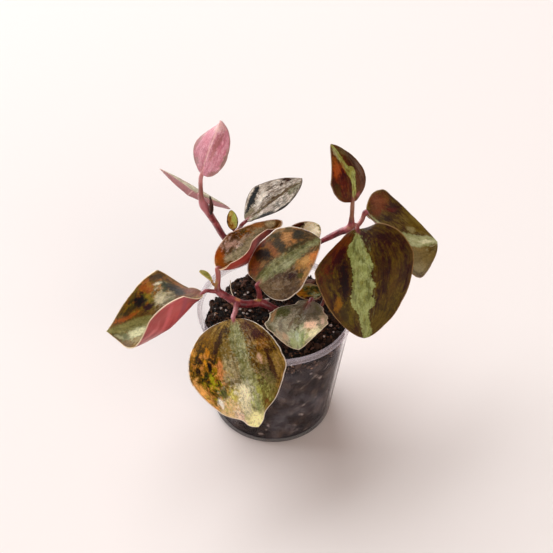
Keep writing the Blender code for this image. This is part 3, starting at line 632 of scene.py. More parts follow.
            (9, 12, 9, 4, 35, (112, 62, 38), 0.85), (6, 6, 5, 3, 50, (104, 60, 32), 0.7),
            (19, 12.5, 6, 2, 15, (58, 35, 12), 0.8), (16, 8, 7, 2, 18, (70, 50, 16), 0.6),
            (34, 9, 8, 4, -30, (98, 76, 32), 0.7), (30, -8, 12, 6, 10, (108, 88, 52), 0.85),
        ],
        stripe=dict(
            left=[(0, 0.05), (0.4, 0.2), (0.6, 0.32), (0.75, 0.3), (0.9, 0.28), (1, 0.2)],
            right=[(0, 0.05), (0.4, 0.22), (0.6, 0.3), (0.75, 0.22), (0.9, 0.12), (1, 0.1)],
            colours=((132, 126, 82), (154, 148, 108)), jag=1.2, blur=0.6, amount=0.95,
        ),
        mottles=[
            ((52, 34, 10), 2.4, 0.5, 0.48, 18, 9, 18, 9, 0),
            ((124, 100, 58), 2, 0.45, 0.4, 28, 0, 16, 14, 0),
            ((188, 182, 148), 1.1, 0.45, 0.23, 34, 0, 12, 4, 0),
        ],
        marks=[
            (12, 14, 6, 1.4, 28, (118, 68, 40), 0.7), (22, 15.4, 5, 1.4, 0, (58, 36, 12), 0.8),
            (30, 5.4, 3, 1.3, 0, (132, 116, 76), 0.75), (38, 0.4, 4.6, 0.8, 3, (196, 184, 150), 0.7),
            (28, -13, 6, 2.2, 25, (126, 108, 70), 0.75), (8, 7, 5, 1.2, 48, (104, 56, 28), 0.7),
            (35.4, 9.6, 5, 1.6, -32, (110, 88, 44), 0.7), (14, 6, 4, 1.2, 30, (54, 38, 12), 0.7),
            (31, -3.6, 4, 0.9, 10, (120, 96, 56), 0.6), (18, 12, 5, 0.9, 20, (90, 46, 22), 0.7),
        ],
    ),
    "leaf_silver": dict(
        slot="silver_leaf", place=(-13.7, 28, 77.6), heading=39, rise=24, bank=-15, arch=10, twist=5,
        length=30.3, left=12.8, right=13.4, widest=0.4, heel=1.6, point=1.3, foldLeft=(5, 10),
        foldRight=(15, 5), curlLeft=(-5, 5), curlRight=(5, 0), lobeLeft=-0.2, seed=7,
        gain=(0.91, 0.92, 0.89), punch=1.25, middle=(157, 145, 131), rim=(74, 60, 48), rough=0.5,
        shine=0.05, speckle=0.45, haze=0.04,
        # its pale ground and its brightest mottle and marks, at (16, 4), (12, 4.8) and (9.4, -5.4), are
        # partly the leaf's own silver and partly a painted sheen, as the blade is given next to no gloss
        ground=[(146, 132, 120), (186, 170, 157), (224, 210, 198)],
        spots=[
            (7.5, 6.8, 7, 1.6, 38, (44, 33, 14), 0.97), (6, -9.5, 4.5, 1.4, -48, (50, 46, 34), 0.9),
            (15, -12.6, 9, 0.9, 10, (58, 46, 34), 0.9), (14.5, 3.2, 1.8, 0.7, 15, (90, 76, 62), 0.8),
            (25.8, 4.2, 2.4, 1.2, -30, (80, 58, 46), 0.85), (14, -1.5, 13, 1.6, 0, (116, 102, 78), 0.9),
            (3, 2, 4, 1.6, 20, (136, 124, 102), 0.7), (20, 5.6, 5, 0.8, -8, (120, 108, 96), 0.6),
            (24, -4, 4, 2, 25, (138, 132, 110), 0.7), (12, -6, 2, 5, 20, (128, 120, 108), 0.5),
        ],
        mottles=[
            ((236, 226, 216), 1.6, 0.5, 0.5, 16, 4, 12, 4, 0),
            ((96, 84, 70), 1.1, 0.5, 0.6, 16, 0, 16, 12, 0),
            ((70, 58, 48), 1, 0.45, 0.55, 16, -5, 14, 7, 0),
        ],
        marks=[
            (8, 7.2, 6.6, 1.5, 32, (45, 34, 13), 0.98), (13.4, 10.4, 1.7, 1.1, 40, (58, 44, 29), 0.88),
            (6.4, -9, 3.7, 1.8, -48, (40, 31, 18), 0.96), (16, -1.6, 11, 1.4, 0, (110, 95, 76), 0.88),
            (25.8, 4, 1.7, 1, -30, (100, 83, 70), 0.9), (14.5, 3, 1.9, 0.5, 15, (104, 89, 80), 0.8),
            (22, 3.6, 1.3, 0.4, 40, (90, 78, 70), 0.75), (19, 5.4, 1.3, 0.5, 20, (132, 120, 112), 0.7),
            (3.8, 2.2, 2.6, 1, 20, (142, 129, 110), 0.8), (13.4, -7.6, 0.7, 3.6, -20, (110, 104, 96), 0.65),
            (17, -6.5, 0.6, 3.2, -25, (120, 114, 102), 0.6), (12.5, -12.4, 4.4, 0.8, 3, (50, 38, 28), 0.9),
            (2.6, -6.4, 2.6, 0.8, -60, (46, 36, 26), 0.85), (2.8, -4.4, 1.7, 1.6, 0, (118, 112, 90), 0.7),
            (9.4, -5.4, 2.2, 1, -40, (188, 170, 160), 0.6),
            (10.4, -9.4, 0.6, 2.6, -25, (120, 112, 104), 0.6),
            (21, -4.4, 0.6, 2.6, -30, (118, 112, 92), 0.6), (12, 4.8, 3, 1.2, 20, (232, 218, 204), 0.7),
            (20.6, -9.2, 5, 0.5, 26, (96, 86, 74), 0.75),
        ],
    ),
    "leaf_upper": dict(
        slot="maroon_leaf", place=(28.5, 14.5, 100), heading=88, rise=67, bank=40, arch=50, sweep=20,
        twist=10, length=25, left=11, right=10.5, widest=0.4, heel=2, point=1.3, foldLeft=(5, 10),
        foldRight=(-5, 0), curlLeft=(-10, -10), curlRight=(-15, -15), lobeLeft=0.1, lobeRight=-0.2, seed=8,
        gain=(1.4, 1.7, 1.91), punch=1.1, middle=(101, 73, 41), rim=(140, 118, 92), speckle=0.35,
        ripple=0.05, ruffle=1.8,
        ground=[(68, 34, 14), (86, 46, 22), (100, 64, 38)],
        spots=[
            (15, 6, 4.4, 2.2, -25, (142, 62, 28), 0.95), (17.5, 5, 2.6, 1.6, -30, (120, 66, 30), 0.8),
            (8, 6, 5, 3, 20, (84, 36, 12), 0.8), (10, 9.5, 5, 1.2, 5, (64, 36, 18), 0.7),
            (9, -6, 6, 3, -10, (96, 56, 36), 0.75), (15, -5.5, 4, 2, 15, (84, 60, 44), 0.7),
            (2.6, -3, 1.4, 1.2, 0, (128, 66, 56), 0.8), (20, -2, 3, 1.4, 30, (100, 78, 46), 0.7),
        ],
        stripe=dict(
            left=[
                (0, 0.02), (0.15, 0.06), (0.35, 0.04), (0.45, 0.14), (0.6, 0.24), (0.75, 0.26),
                (0.85, 0.22), (1, 0.05),
            ],
            right=[
                (0, 0.02), (0.15, 0.13), (0.35, 0.22), (0.48, 0.34), (0.54, 0.3), (0.58, 0.06), (0.7, 0.02),
                (1, 0),
            ],
            colours=((134, 118, 54), (154, 146, 82)), jag=0.7, blur=0.25, amount=0.97,
        ),
        mottles=[
            ((48, 24, 8), 1.4, 0.5, 0.56, 12, 0, 14, 10, 0),
            ((150, 66, 26), 1.6, 0.45, 0.56, 14, 5, 7, 4, 0),
        ],
        marks=[
            (15, 6, 2.8, 1.3, -25, (146, 68, 34), 0.85), (20.4, 2.2, 2.6, 0.8, -10, (146, 122, 82), 0.8),
            (12, 3, 3, 0.6, 8, (60, 26, 6), 0.8), (5, -3, 2, 1, -10, (84, 52, 22), 0.7),
            (8, 7.6, 2, 1, 40, (62, 44, 12), 0.7), (2.6, -2.8, 1.2, 1, 0, (132, 68, 58), 0.75),
            (6, 8, 3.4, 0.8, 24, (72, 52, 20), 0.7), (17.4, 3.4, 1.2, 0.5, 0, (70, 46, 14), 0.7),
            (12, -7, 3, 0.9, 10, (104, 76, 60), 0.6),
        ],
    ),
    "leaf_pink": dict(
        slot="pink_leaf", place=(-31, 21, 106), heading=42, rise=74, arch=20, twist=-5, length=23, left=10,
        right=10, heel=2, point=1.8, foldLeft=(10, -30), foldRight=(10, -10), curlLeft=(0, -25),
        curlRight=(-5, -15), lobeLeft=-0.4, seed=9, gain=(0.95, 0.93, 0.92), punch=0.82,
        middle=(202, 138, 144), rim=(176, 140, 130), under=(196, 120, 128), underVein=(222, 166, 160),
        foot=(206, 140, 136), speckle=0.2, veins=0.6, ripple=0.04, ruffle=2.2,
        ground=[(188, 112, 126), (206, 136, 150), (220, 156, 168)],
        spots=[
            (13, 5, 4, 2.6, 10, (198, 116, 130), 0.8), (14, -3, 5.5, 1.8, -5, (158, 86, 86), 0.9),
            (15, -6, 4, 2, 12, (198, 104, 124), 0.8), (9, 8.8, 6, 1, 0, (170, 140, 128), 0.8),
            (10, -9.2, 6, 1, 0, (160, 134, 118), 0.85), (2, 5, 2.5, 3, 30, (176, 140, 138), 0.7),
            (21, 0, 2.4, 3.5, 0, (228, 188, 178), 0.8), (10, -3.2, 2.6, 1.2, 0, (178, 112, 112), 0.7),
        ],
        stripe=dict(
            left=[(0, 0.02), (0.5, 0.05), (1, 0.04)],
            right=[(0, 0.02), (0.5, 0.07), (1, 0.04)],
            colours=((226, 172, 162), (232, 188, 176)), jag=0.4, blur=0.4, amount=0.75,
        ),
        mottles=[
            ((172, 98, 112), 1.6, 0.5, 0.48, 12, 0, 13, 10, 0),
            ((234, 180, 190), 1.4, 0.5, 0.48, 12, 0, 13, 10, 0),
        ],
        marks=[
            (14.4, -3, 4.6, 0.9, -6, (156, 86, 86), 0.8), (9, -2.6, 3, 0.7, -12, (176, 108, 108), 0.7),
            (6, -6.4, 5, 0.5, -34, (186, 120, 132), 0.7), (13, 4.6, 1.8, 2.6, 0, (196, 110, 126), 0.7),
            (3.4, -6.2, 3.2, 0.8, -50, (128, 92, 72), 0.8), (19.4, 1.6, 1.4, 3, 0, (230, 190, 182), 0.7),
            (11, 6.6, 6, 0.4, 4, (190, 118, 132), 0.6), (9.8, -9.2, 3.4, 0.5, 0, (118, 96, 78), 0.8),
            (2.4, 4.6, 1.6, 1.8, 40, (168, 136, 132), 0.7),
        ],
    ),
    "leaf_low": dict(
        slot="cream_silver_leaf", place=(14, 1, 59), heading=-115, rise=8, bank=10, arch=30, sweep=25,
        twist=5, length=27, left=12, right=13.5, widest=0.6, point=1.3, foldLeft=(5, 10), foldRight=(5, 15),
        curlLeft=(-5, 5), curlRight=(-5, 10), lobeLeft=-0.1, lobeRight=-0.2, seed=10,
        gain=(1.24, 1.35, 1.27), punch=1.25, middle=(136, 122, 94), rim=(222, 204, 176), silver=0.05,
        speckle=0.3, drawn=0.8, ripple=0.09,
        ground=[(84, 74, 50), (112, 100, 76), (138, 126, 104)],
        spots=[
            (8, 2, 7, 5, 0, (106, 89, 66), 0.85), (17, 5, 3.6, 3, 0, (214, 174, 146), 0.95),
            (21.5, 6, 4, 3.4, -30, (196, 178, 140), 0.95), (12, 9.5, 7, 1.6, 10, (150, 126, 96), 0.85),
            (18.5, 1.5, 4, 1.8, 0, (162, 156, 120), 0.8), (23, -1, 4, 2.4, 0, (160, 158, 118), 0.85),
            (18, 4.6, 0.9, 0.7, 0, (130, 112, 70), 0.7), (15, -6, 7, 4, 10, (152, 138, 116), 0.85),
            (22, -7, 4, 1.6, 30, (168, 136, 110), 0.6), (9, -9, 5, 2.2, -15, (88, 82, 48), 0.8),
            (20, -3.4, 4, 0.8, -8, (176, 172, 146), 0.6), (22.5, 3.4, 3, 0.9, -20, (140, 134, 76), 0.8),
        ],
        notches=[(0.14, -1, 0.4, 0.09), (0.28, 1, 0.12, 0.1)],
        mottles=[
            ((70, 62, 38), 1.7, 0.5, 0.45, 9, -2, 12, 9, 0),
            ((226, 206, 176), 1.5, 0.5, 0.4, 19, 4, 6, 4, 0),
            ((178, 172, 150), 1.3, 0.5, 0.4, 17, -4, 10, 7, 0),
            ((140, 146, 88), 1.4, 0.5, 0.5, 22, 0, 5, 4, 0),
        ],
        marks=[
            (16, 4.4, 2.2, 2.4, 20, (222, 180, 152), 0.85),
            (24.4, 4.6, 1.8, 1.2, -40, (140, 124, 100), 0.8), (9.5, 5, 1, 4, 5, (92, 78, 48), 0.7),
            (10, -6.6, 2.4, 1.6, -20, (84, 80, 42), 0.8), (5.4, 5.6, 3.4, 1.3, 40, (92, 80, 44), 0.75),
            (4, 0.4, 3, 1.4, 0, (104, 70, 52), 0.75), (22.4, 1.8, 2.4, 0.7, -12, (112, 116, 66), 0.75),
            (21, -0.6, 2.8, 0.8, 5, (170, 170, 148), 0.75),
            (13.6, -1.8, 1.8, 0.7, -10, (124, 112, 80), 0.6), (16, -3.6, 3, 0.6, -8, (112, 90, 70), 0.7),
            (17, -7.4, 3.4, 0.7, 12, (112, 98, 82), 0.7), (21.6, -5, 1.7, 1, 35, (176, 142, 116), 0.75),
            (12, -11.2, 3.6, 0.8, -6, (160, 122, 88), 0.75), (9, -9.4, 3, 1, -14, (88, 84, 46), 0.75),
            (14.6, 9.6, 2.6, 0.8, 8, (196, 160, 140), 0.7), (18.6, 4.2, 0.9, 0.6, 0, (134, 112, 66), 0.75),
            (20.4, 7.4, 2.6, 1, -34, (208, 190, 152), 0.6),
        ],
    ),
    "leaf_red": dict(
        slot="pink_leaf", place=(-32.5, 24, 93.5), heading=96, rise=-21, bank=30, arch=35, sweep=-5,
        twist=5, length=35.5, left=17, right=16.5, heel=1.6, point=1.6, foldLeft=(0, 0), foldRight=(0, 0),
        curlLeft=(0, -5), curlRight=(0, -5), lobeLeft=-0.3, lobeRight=-0.1, seed=11, gain=(1.9, 2.3, 2.28),
        punch=1.05, middle=(182, 140, 132), wave=0.15, rim=(196, 166, 150), under=(184, 104, 106),
        underVein=(226, 178, 168),
        ground=[(120, 104, 84), (150, 128, 108), (178, 156, 134)],
        spots=[(20, 6, 10, 6, 0, (150, 96, 84), 0.7), (18, -8, 10, 4, 0, (128, 116, 84), 0.6)],
    ),
    "leaf_young": dict(
        slot="young_leaf", place=(-18.8, 27.8, 72.5), heading=104, rise=48, length=8.5, left=2.5, right=2.5,
        widest=0.5, point=1.6, seed=12, gain=(1.95, 2.5, 3.63), punch=1.3, middle=(146, 124, 68), wave=0.05,
        rim=(86, 58, 26), footLength=1.2, speckle=0.3, ripple=0.1, ruffle=1.1,
        ground=[(138, 100, 44), (160, 130, 60), (170, 150, 76)],
        spots=[
            (4.5, 1.4, 3.6, 0.9, 0, (128, 84, 38), 0.9), (4.5, -1.2, 3.4, 0.9, 0, (152, 146, 66), 0.9),
            (3.6, 2.4, 1.2, 0.3, 0, (60, 34, 18), 0.8), (3.6, -2.3, 1.4, 0.3, 0, (60, 40, 18), 0.8),
        ],
    ),
    "leaf_behind": dict(
        slot="cream_silver_leaf", place=(5, 19.5, 70), heading=46, rise=29, bank=10, arch=15, sweep=-15,
        length=16.5, left=7, right=7, widest=0.4, point=1.7, seed=13, gain=(2.81, 3.78, 4.7), punch=1.1,
        middle=(184, 162, 131), wave=0.15, rim=(214, 190, 152), speckle=0.3,
        ground=[(86, 76, 48), (120, 100, 70), (160, 138, 104)],
        spots=[
            (10.8, 5, 3, 1.6, -25, (58, 46, 34), 0.95), (13, 0, 2.6, 4.5, 0, (196, 168, 128), 0.85),
            (12.6, 1, 1.2, 1.3, 0, (120, 108, 68), 0.8),
        ],
        marks=[
            (5, 4, 3, 1.2, 30, (118, 82, 42), 0.8), (9.6, 5.4, 2.4, 0.9, -10, (84, 62, 42), 0.8),
            (13, -0.6, 1.6, 3, 0, (204, 176, 138), 0.7),
        ],
    ),
    "leaf_inner": dict(
        slot="orange_leaf", place=(19, 8.7, 57.5), heading=197, rise=2, bank=-5, arch=-5, sweep=-10,
        twist=-5, length=11.5, left=4.4, right=4.5, heel=1.8, point=1.7, foldLeft=(5, 0), curlLeft=(-5, 0),
        seed=14, gain=(2.36, 3.47, 3.99), punch=1.4, middle=(81, 64, 38), wave=0.08, rim=(186, 160, 124),
        footLength=1.5, speckle=0.3,
        ground=[(44, 40, 18), (66, 56, 28), (92, 76, 44)],
        spots=[
            (8.8, 0.6, 2, 2.4, 0, (124, 76, 18), 0.9), (6, 3.4, 4, 0.9, 0, (62, 32, 16), 0.85),
            (3.6, 2, 1.6, 1.2, 0, (110, 100, 70), 0.85), (5, -3.4, 3, 0.8, 0, (116, 96, 66), 0.8),
        ],
        mottles=[
            ((30, 26, 10), 1, 0.5, 0.36, 5, 0, 6, 5, 0), ((150, 92, 30), 0.9, 0.45, 0.32, 7, 0, 5, 4, 0),
            ((110, 112, 60), 0.8, 0.45, 0.27, 4, 0, 5, 4, 0),
        ],
    ),
    "leaf_sprout": dict(
        slot="young_leaf", place=(-26, 0.5, 68), heading=125, rise=11, bank=5, arch=25, sweep=5, length=8.5,
        left=1.5, right=1.5, widest=0.6, heel=1.6, point=2.2, seed=15, wave=0, rim=(190, 168, 96),
        foot=(172, 130, 70), footLength=2, speckle=0.3, ripple=0.05, ruffle=1.4,
        ground=[(108, 98, 36), (138, 130, 56), (166, 158, 84)],
    ),
}


def leafValues(name):
    return {**plainLeaf, **leaves[name]}


def startAxes(leaf):
    heading, rise, bank = (math.radians(leaf[key]) for key in ("heading", "rise", "bank"))
    ahead = np.array((math.cos(rise) * math.cos(heading), math.cos(rise) * math.sin(heading), math.sin(rise)))
    left = np.array((-math.sin(heading), math.cos(heading), 0.0))
    up = np.cross(ahead, left)
    return ahead, math.cos(bank) * left + math.sin(bank) * up, math.cos(bank) * up - math.sin(bank) * left


def swing(first, second, angle):
    return (
        math.cos(angle) * first + math.sin(angle) * second,
        math.cos(angle) * second - math.sin(angle) * first,
    )


def widthShare(leaf, share, sign):
    middle = leaf["widest"] - sign * 0.5 * leaf["skew"]
    if share < middle:
        away, bulge = (middle - share) / middle, leaf["heel"]
    else:
        away, bulge = (share - middle) / (1 - middle), leaf["point"]
    nipPlace, nipReach = leafBuild["nip"]
    pinch = 1 - leaf["nip"] * math.exp(-(((share - nipPlace) / nipReach) ** 2))
    return max(0.0, 1 - away**bulge) ** (1 / bulge) * pinch


def edgeWander(leaf, share, sign, waves, drift):
    return noise.noise(Vector((share * leaf["ruffle"] * waves, sign * 3.0, leaf["seed"] * drift)))


def leafHalf(leaf, share, sign):
    # one half of a cross-section: steps out, up and back, slopes, and the half width in mm
    side = "Left" if sign > 0 else "Right"
    width = widthShare(leaf, share, sign)
    least = leafBuild["footWidth"] + (leafBuild["tipWidth"] - leafBuild["footWidth"]) * share
    for place, facing, depth, reach in leaf["notches"]:
        if facing == sign:
            width *= 1 - depth * math.exp(-(((share - place) / reach) ** 2))
    wander = edgeWander(leaf, share, sign, 2, 1.7) + 0.5 * edgeWander(leaf, share, sign, 6, 2.9)
    half = max(leaf[side.lower()] * width * (1 + leaf["ripple"] * wander * min(1, 6 * share)), least)
    shaped = min(1.0, width / leafBuild["plainShare"])
    out = np.linspace(0, 1, leafBuild["columns"] + 1)
    fold = np.interp(share, (0, 1), leaf["fold" + side])
    curl = np.interp(share, (0, 1), leaf["curl" + side])
    slope = np.radians(shaped * (fold + curl * out))
    pitch = half / leafBuild["columns"] / 2
    across = np.concatenate(([0], np.cumsum(np.cos(slope[1:]) + np.cos(slope[:-1])))) * pitch
    rise = np.concatenate(([0], np.cumsum(np.sin(slope[1:]) + np.sin(slope[:-1])))) * pitch
    back = shaped * leaf["lobe" + side] * half * out**2 * (1 - share) ** 2
    return across, rise, back, slope, half


def leafSheet(leaf):
    # rows from foot to tip of points from the left margin to the right, with normals and flat places
    ahead, left, up = startAxes(leaf)
    middle = np.array(leaf["place"], float)
    rows, out = leafBuild["rows"], np.linspace(0, 1, leafBuild["columns"] + 1)
    before = 0.0
    points, normals, flat, shares = [], [], [], []
    for row in range(rows + 1):
        share = (1 - math.cos(math.pi * row / rows)) / 2
        part = share - before
        before = share
        ahead, up = swing(ahead, up, -math.radians(leaf["arch"]) * part)
        ahead, left = swing(ahead, left, math.radians(leaf["sweep"]) * part)
        left, up = swing(left, up, math.radians(leaf["twist"]) * part)
        middle = middle + ahead * leaf["length"] * part
        halves = []
        for sign in (1, -1):
            across, rise, back, slope, half = leafHalf(leaf, share, sign)
            place = middle + np.outer(sign * across, left) + np.outer(rise, up) - np.outer(back, ahead)
            normal = np.outer(np.cos(slope), up) - np.outer(sign * np.sin(slope), left)
            even = np.full_like(out, share)
            level = np.stack((even * leaf["length"], sign * half * out, half * (1 - out)), 1)
            halves.append((place, normal, level, np.stack((even, sign * out, 0 * out), 1)))
        halves[0][1][0] = unit(halves[0][1][0] + halves[1][1][0])
        joined = [np.concatenate((first[::-1], second[1:])) for first, second in zip(*halves)]
        for store, values in zip((points, normals, flat, shares), joined):
            store.append(values)
    return [np.array(values) for values in (points, normals, flat, shares)]


def leafThickness(leaf, flat, shares):
    # how far the upper and the lower face lie from the sheet
    size = max(leaf["left"], leaf["right"])
    small = min(1.0, size / 10)
    x, y, inside = (flat[..., axis] for axis in range(3))
    share, spread = shares[..., 0], np.abs(shares[..., 1])
    long, wide = leafBuild["swell"]
    swell = np.array([
        [noise.noise(Vector((along / long, out / wide, leaf["seed"] * 7.3))) for along, out in zip(*line)]
        for line in zip(x, y)
    ])
    lift = leaf["wave"] * small * swell * (np.clip(x / 5, 0, 1) * np.clip(inside / 1.5, 0.25, 1))
    thick = leafBuild["margin"] + (leafBuild["middle"] - leafBuild["margin"]) * (1 - spread**2.2)
    thick = thick * (0.55 + 0.45 * small) / 2
    reach = leafBuild["grooveReach"] * size
    furrow = leafBuild["groove"] * small * np.exp(-((y / reach) ** 2)) * np.clip((1 - share) * 3, 0, 1)
    ribs = sum(
        np.exp(-(((spread - at - drift * share) / near) ** 2)) for at, drift, near in leafBuild["ribs"]
    )
    vein = leafBuild["ribDepth"] * small * ribs * np.clip(x / 3, 0, 1)
    return lift + thick - furrow - vein, lift - thick - 0.7 * furrow - vein


def addLeaf(name):
    leaf = leafValues(name)
    points, normals, flat, shares = leafSheet(leaf)
    rows, columns = points.shape[:2]
    above, below = leafThickness(leaf, flat, shares)
    faces, sides = [], []
    shift = rows * columns
    for row in range(rows - 1):
        for column in range(columns - 1):
            a = row * columns + column
            ring = (a, a + columns, a + columns + 1, a + 1)
            faces.append(ring)
            faces.append(tuple(corner + shift for corner in reversed(ring)))
            sides += [0, 1]
    edge = list(range(columns))
    edge += [row * columns + columns - 1 for row in range(1, rows)]
    edge += [(rows - 1) * columns + column for column in range(columns - 2, -1, -1)]
    edge += [row * columns for row in range(rows - 2, 0, -1)]
    for a, b in zip(edge, edge[1:] + edge[:1]):
        faces.append((a, b, b + shift, a + shift))
        sides.append(0)
    skins = [(points + normals * away[..., None]).reshape(-1, 3) for away in (above, below)]
    piece = addMesh(name + "_blade", np.concatenate(skins) * mm, faces, leafTop(name, leaf),
                    leafUnderside(name, leaf))
    for label, values in (("plane", flat), ("share", shares)):
        store = piece.data.attributes.new(label, "FLOAT_VECTOR", "POINT")
        both = np.concatenate((values.reshape(-1, 3), values.reshape(-1, 3)))
        store.data.foreach_set("vector", both.astype(np.float32).ravel())
    piece.data.polygons.foreach_set("material_index", sides)
    faceOut(piece)
    settle(piece, leaf["slot"], name)


leafSkin = {
    # noises: scale, detail and roughness
    "coarse": (0.28, 5, 0.62),
    "streaks": (1.6, 4, 0.6),
    "fine": (1.3, 3, 0.65),
    "push": (0.55, 3, 0.6),
    "fray": (1.1, 5, 0.7),
    "jag": (0.9, 3, 0.7),
    "grains": (2.2, 2, 0.7),
    "specks": (0.9, 5, 0.72),
    "underClouds": (0.3, 4, 0.6),
    "underStreaks": (1.2, 3, 0.6),
    "spotDrift": 5.0,      # mm, how far noise carries the edges of spots
    "markDrift": 1.8,      # and of marks
    "fleck": (36, 32, 12),
    "darkest": 0.0012,     # linear, so that no gain leaves a colour black
    "stripeEnd": (0.82, 0.95),   # shares of the length between which a stripe takes its last colour
    "footWidth": (1.6, 0.3),     # mm from the midrib, where the foot's colour starts and where it's full
    "rim": (0.54, 0.16),   # mm from the margin, in the same way
    "underRim": (0.7, 0.2),
    "arcs": 2.6,           # bowed veins in half a blade
    "lean": 0.2,           # their drift towards the tip
    "bend": 0.12,
    "net": 0.75,           # cells to a mm
    "veinShade": 0.16,
    "netShade": 0.12,
    "veinRelief": 0.00018,       # m
    "grainRelief": 0.00022,
    "grain": 0.352,        # strength of the fine relief
    "depth": 0.001,        # m, how far light goes into a blade
}


class LeafFinish(Finish):
    # a leaf's material, which knows where it is on the flattened blade

    def __init__(self, name, leaf, roughness, **constants):
        super().__init__(name, roughness, Subsurface_Scale=leafSkin["depth"], **constants)
        self.leaf = leaf
        plane, share = self.attribute("plane"), self.attribute("share")
        self.x, self.y, self.inside = self.split(plane)
        self.along, self.across, _ = self.split(share)
        self.level = self.vector("MULTIPLY", plane, (1, 1, 0))
        self.seeded = self.vector("ADD", self.level, (0, 0, 11.0 * leaf["seed"]))

    def stretched(self, lengthwise, crosswise, shift):
        # a place that runs with the blade, for streaks
        return self.combine(self.along * lengthwise, self.across * crosswise, shift * self.leaf["seed"])

    def drifted(self, push, reach):
        shove = self.scale(self.vector("SUBTRACT", push, (0.5, 0.5, 0.5)), reach)
        return self.vector("ADD", self.level, self.vector("MULTIPLY", shove, (1, 1, 0)))

    def patches(self, colour, patches, place, soft, fray):
        for x, y, lengthwise, crosswise, turn, tint, amount in patches:
            mask = self.spot(place, (x, y, 0), (lengthwise, crosswise, 1), turn, soft, amount, fray)
            colour = self.blend(mask, colour, tint)
        return colour

    def veins(self):
        # arcs that leave the foot and run with the margin, the midrib, and a fine net between them
        bend = self.noise(self.seeded, 0.25, 2) * leafSkin["bend"]
        arcs = abs(self.across) * leafSkin["arcs"] + bend + self.along * leafSkin["lean"]
        arcs = abs(self.maths("PINGPONG", arcs, 0.5) - 0.5)
        sizes = {"Vector": self.seeded, "Scale": leafSkin["net"], "Randomness": 1.0}
        cells = self.wire("ShaderNodeTexVoronoi", {"feature": "DISTANCE_TO_EDGE"}, sizes, "Distance")
        return self.step(arcs, 0.05, 0.0), self.step(abs(self.y), 0.5, 0.1), self.step(cells, 0.12, 0.02)


def leafStripe(finish, colour, coarse, left, right, colours, jag, blur, amount, last=None):
    # the pale band along the midrib, with ragged edges
    wander = finish.noise(finish.combine(finish.x, finish.y * 0.22, finish.leaf["seed"]), *leafSkin["jag"])
    wander = (wander - 0.5) * (2.4 * jag)
    leftEdge, rightEdge = (
        finish.wire("ShaderNodeFloatCurve", {"curve": edge}, {"Value": finish.along}) * 10.0
        for edge in (left, right)
    )
    within = finish.step(leftEdge + wander - finish.y, -blur, blur)
    within = within * finish.step(rightEdge + wander + finish.y, -blur, blur, amount)
    pale = finish.blend(finish.step(coarse, 0.4, 0.6), *colours)
    if last:
        pale = finish.blend(finish.step(finish.along, *leafSkin["stripeEnd"]), pale, last)
    return finish.blend(within, colour, pale)


def leafMottles(finish, colour, placed):
    # clouds of small blots, each cloud within its own ellipse
    leaf = finish.leaf
    flow = finish.stretched(leaf["drawn"] * leaf["length"], max(leaf["left"], leaf["right"]), 3.7)
    for order, (tint, pitch, share, amount, x, y, lengthwise, crosswise, turn) in enumerate(leaf["mottles"]):
        sizes = {"Vector": flow, "W": 3.1 * order + leaf["seed"], "Scale": 1 / pitch, "Detail": 4.0,
                 "Roughness": 0.58, "Distortion": 0.5}
        blot = finish.wire("ShaderNodeTexNoise", {"noise_dimensions": "4D"}, sizes)
        blot = finish.step(blot, 0.63 - 0.3 * share, 0.76 - 0.3 * share, amount)
        zone = finish.spot(placed, (x, y, 0), (lengthwise, crosswise, 1), turn, 0.8)
        colour = finish.blend(blot * zone, colour, tint)
    return colour


